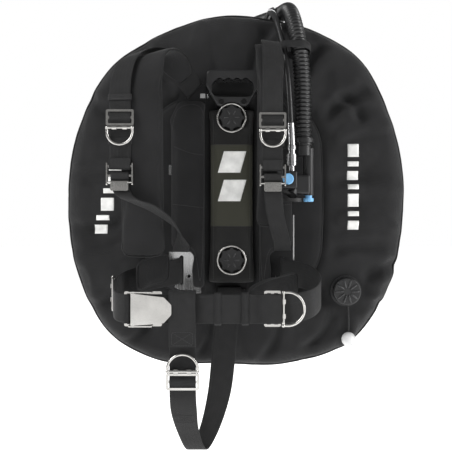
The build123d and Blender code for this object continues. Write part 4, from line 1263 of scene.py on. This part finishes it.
# ---------------------------------------------------------------- studio
def area_light(name, place, aim, size, power):
    """A rectangular light at a place, aimed at a point."""
    data = bpy.data.lights.new(name, "AREA")
    data.shape = "RECTANGLE"
    data.size, data.size_y = size
    data.energy = power
    obj = placed(name, data)
    obj.location = place
    obj.rotation_euler = (Vector(aim) - Vector(place)).to_track_quat("-Z", "Y").to_euler()


# All in metres. The world looks white to the camera and lights the object at AMBIENT.
AMBIENT = 0.3
FLOOR_GLOW, FLOOR_R, FLOOR_SIDES, FLOOR_DROP = 0.8, 14.0, 96, 0.012
CAMERA_PLACE, CAMERA_LENS = (-0.011, -1.5, -0.0727), 59.7
# each light: its name, place, aim, size and power
LIGHTS = (("key", (-1.5, -1.0, 1.1), (0, 0, 0), (0.8, 1.6), 30),
          ("side", (1.8, -0.7, 0.5), (0, 0, 0), (0.7, 1.6), 24),
          ("low", (0.2, -1.6, -0.9), (0, 0, -0.1), (1.2, 0.4), 4),
          ("rear", (0.3, 1.9, 1.3), (0, 0, 0), (1.4, 1.0), 24))


def build_studio():
    """White floor and world, four lights and the camera."""
    floor_z = cad_bounds[0].z - FLOOR_DROP
    mesh = bpy.data.meshes.new("floor")
    rim = np.linspace(0, 2 * math.pi, FLOOR_SIDES, endpoint=False)
    mesh.from_pydata([(math.cos(a) * FLOOR_R, math.sin(a) * FLOOR_R, floor_z) for a in rim],
                     [], [tuple(range(FLOOR_SIDES))])
    pale, tree, shader = new_material("floor_paint", (0.9, 0.9, 0.9), 0.8, specular=0.05)
    shader.inputs["Emission Color"].default_value = (1, 1, 1, 1)
    shader.inputs["Emission Strength"].default_value = FLOOR_GLOW
    source = tree.nodes.new("ShaderNodeTexCoord").outputs["Object"]
    vary_color(tree, shader, noise_at(tree, source, 3), (0.89,) * 3, (0.91,) * 3)
    mesh.materials.append(pale)
    placed("floor", mesh)
    world = bpy.data.worlds.new("studio")
    bpy.context.scene.world = world
    world.use_nodes = True
    tree = world.node_tree
    tree.nodes["Background"].inputs["Color"].default_value = (1, 1, 1, 1)
    seen = tree.nodes.new("ShaderNodeLightPath").outputs["Is Camera Ray"]
    strength = value_of(tree, "MULTIPLY_ADD", seen, 1.0 - AMBIENT)
    strength.node.inputs[2].default_value = AMBIENT
    tree.links.new(strength, tree.nodes["Background"].inputs["Strength"])
    for light in LIGHTS:
        area_light(*light)
    bpy.context.scene.view_settings.view_transform = "Standard"
    data = bpy.data.cameras.new("camera")
    data.lens = CAMERA_LENS
    data.sensor_width = 36
    camera = placed("camera", data)
    camera.location = CAMERA_PLACE
    camera.rotation_euler = (math.radians(90), 0, 0)
    bpy.context.scene.camera = camera


finish_cad_nodes()
build_studio()
build_cords()
wing = build_wing()
build_marks(wing)
build_center_panel()
build_pads()
build_shoulder_straps()
build_belt()
build_crotch()
build_bands()
build_ribbed_faces()
build_belt_layer()
build_plate_sleeve()
build_shoulder_keepers()
attach(joined("strap_stitching", stitches, THREAD), "webbing")
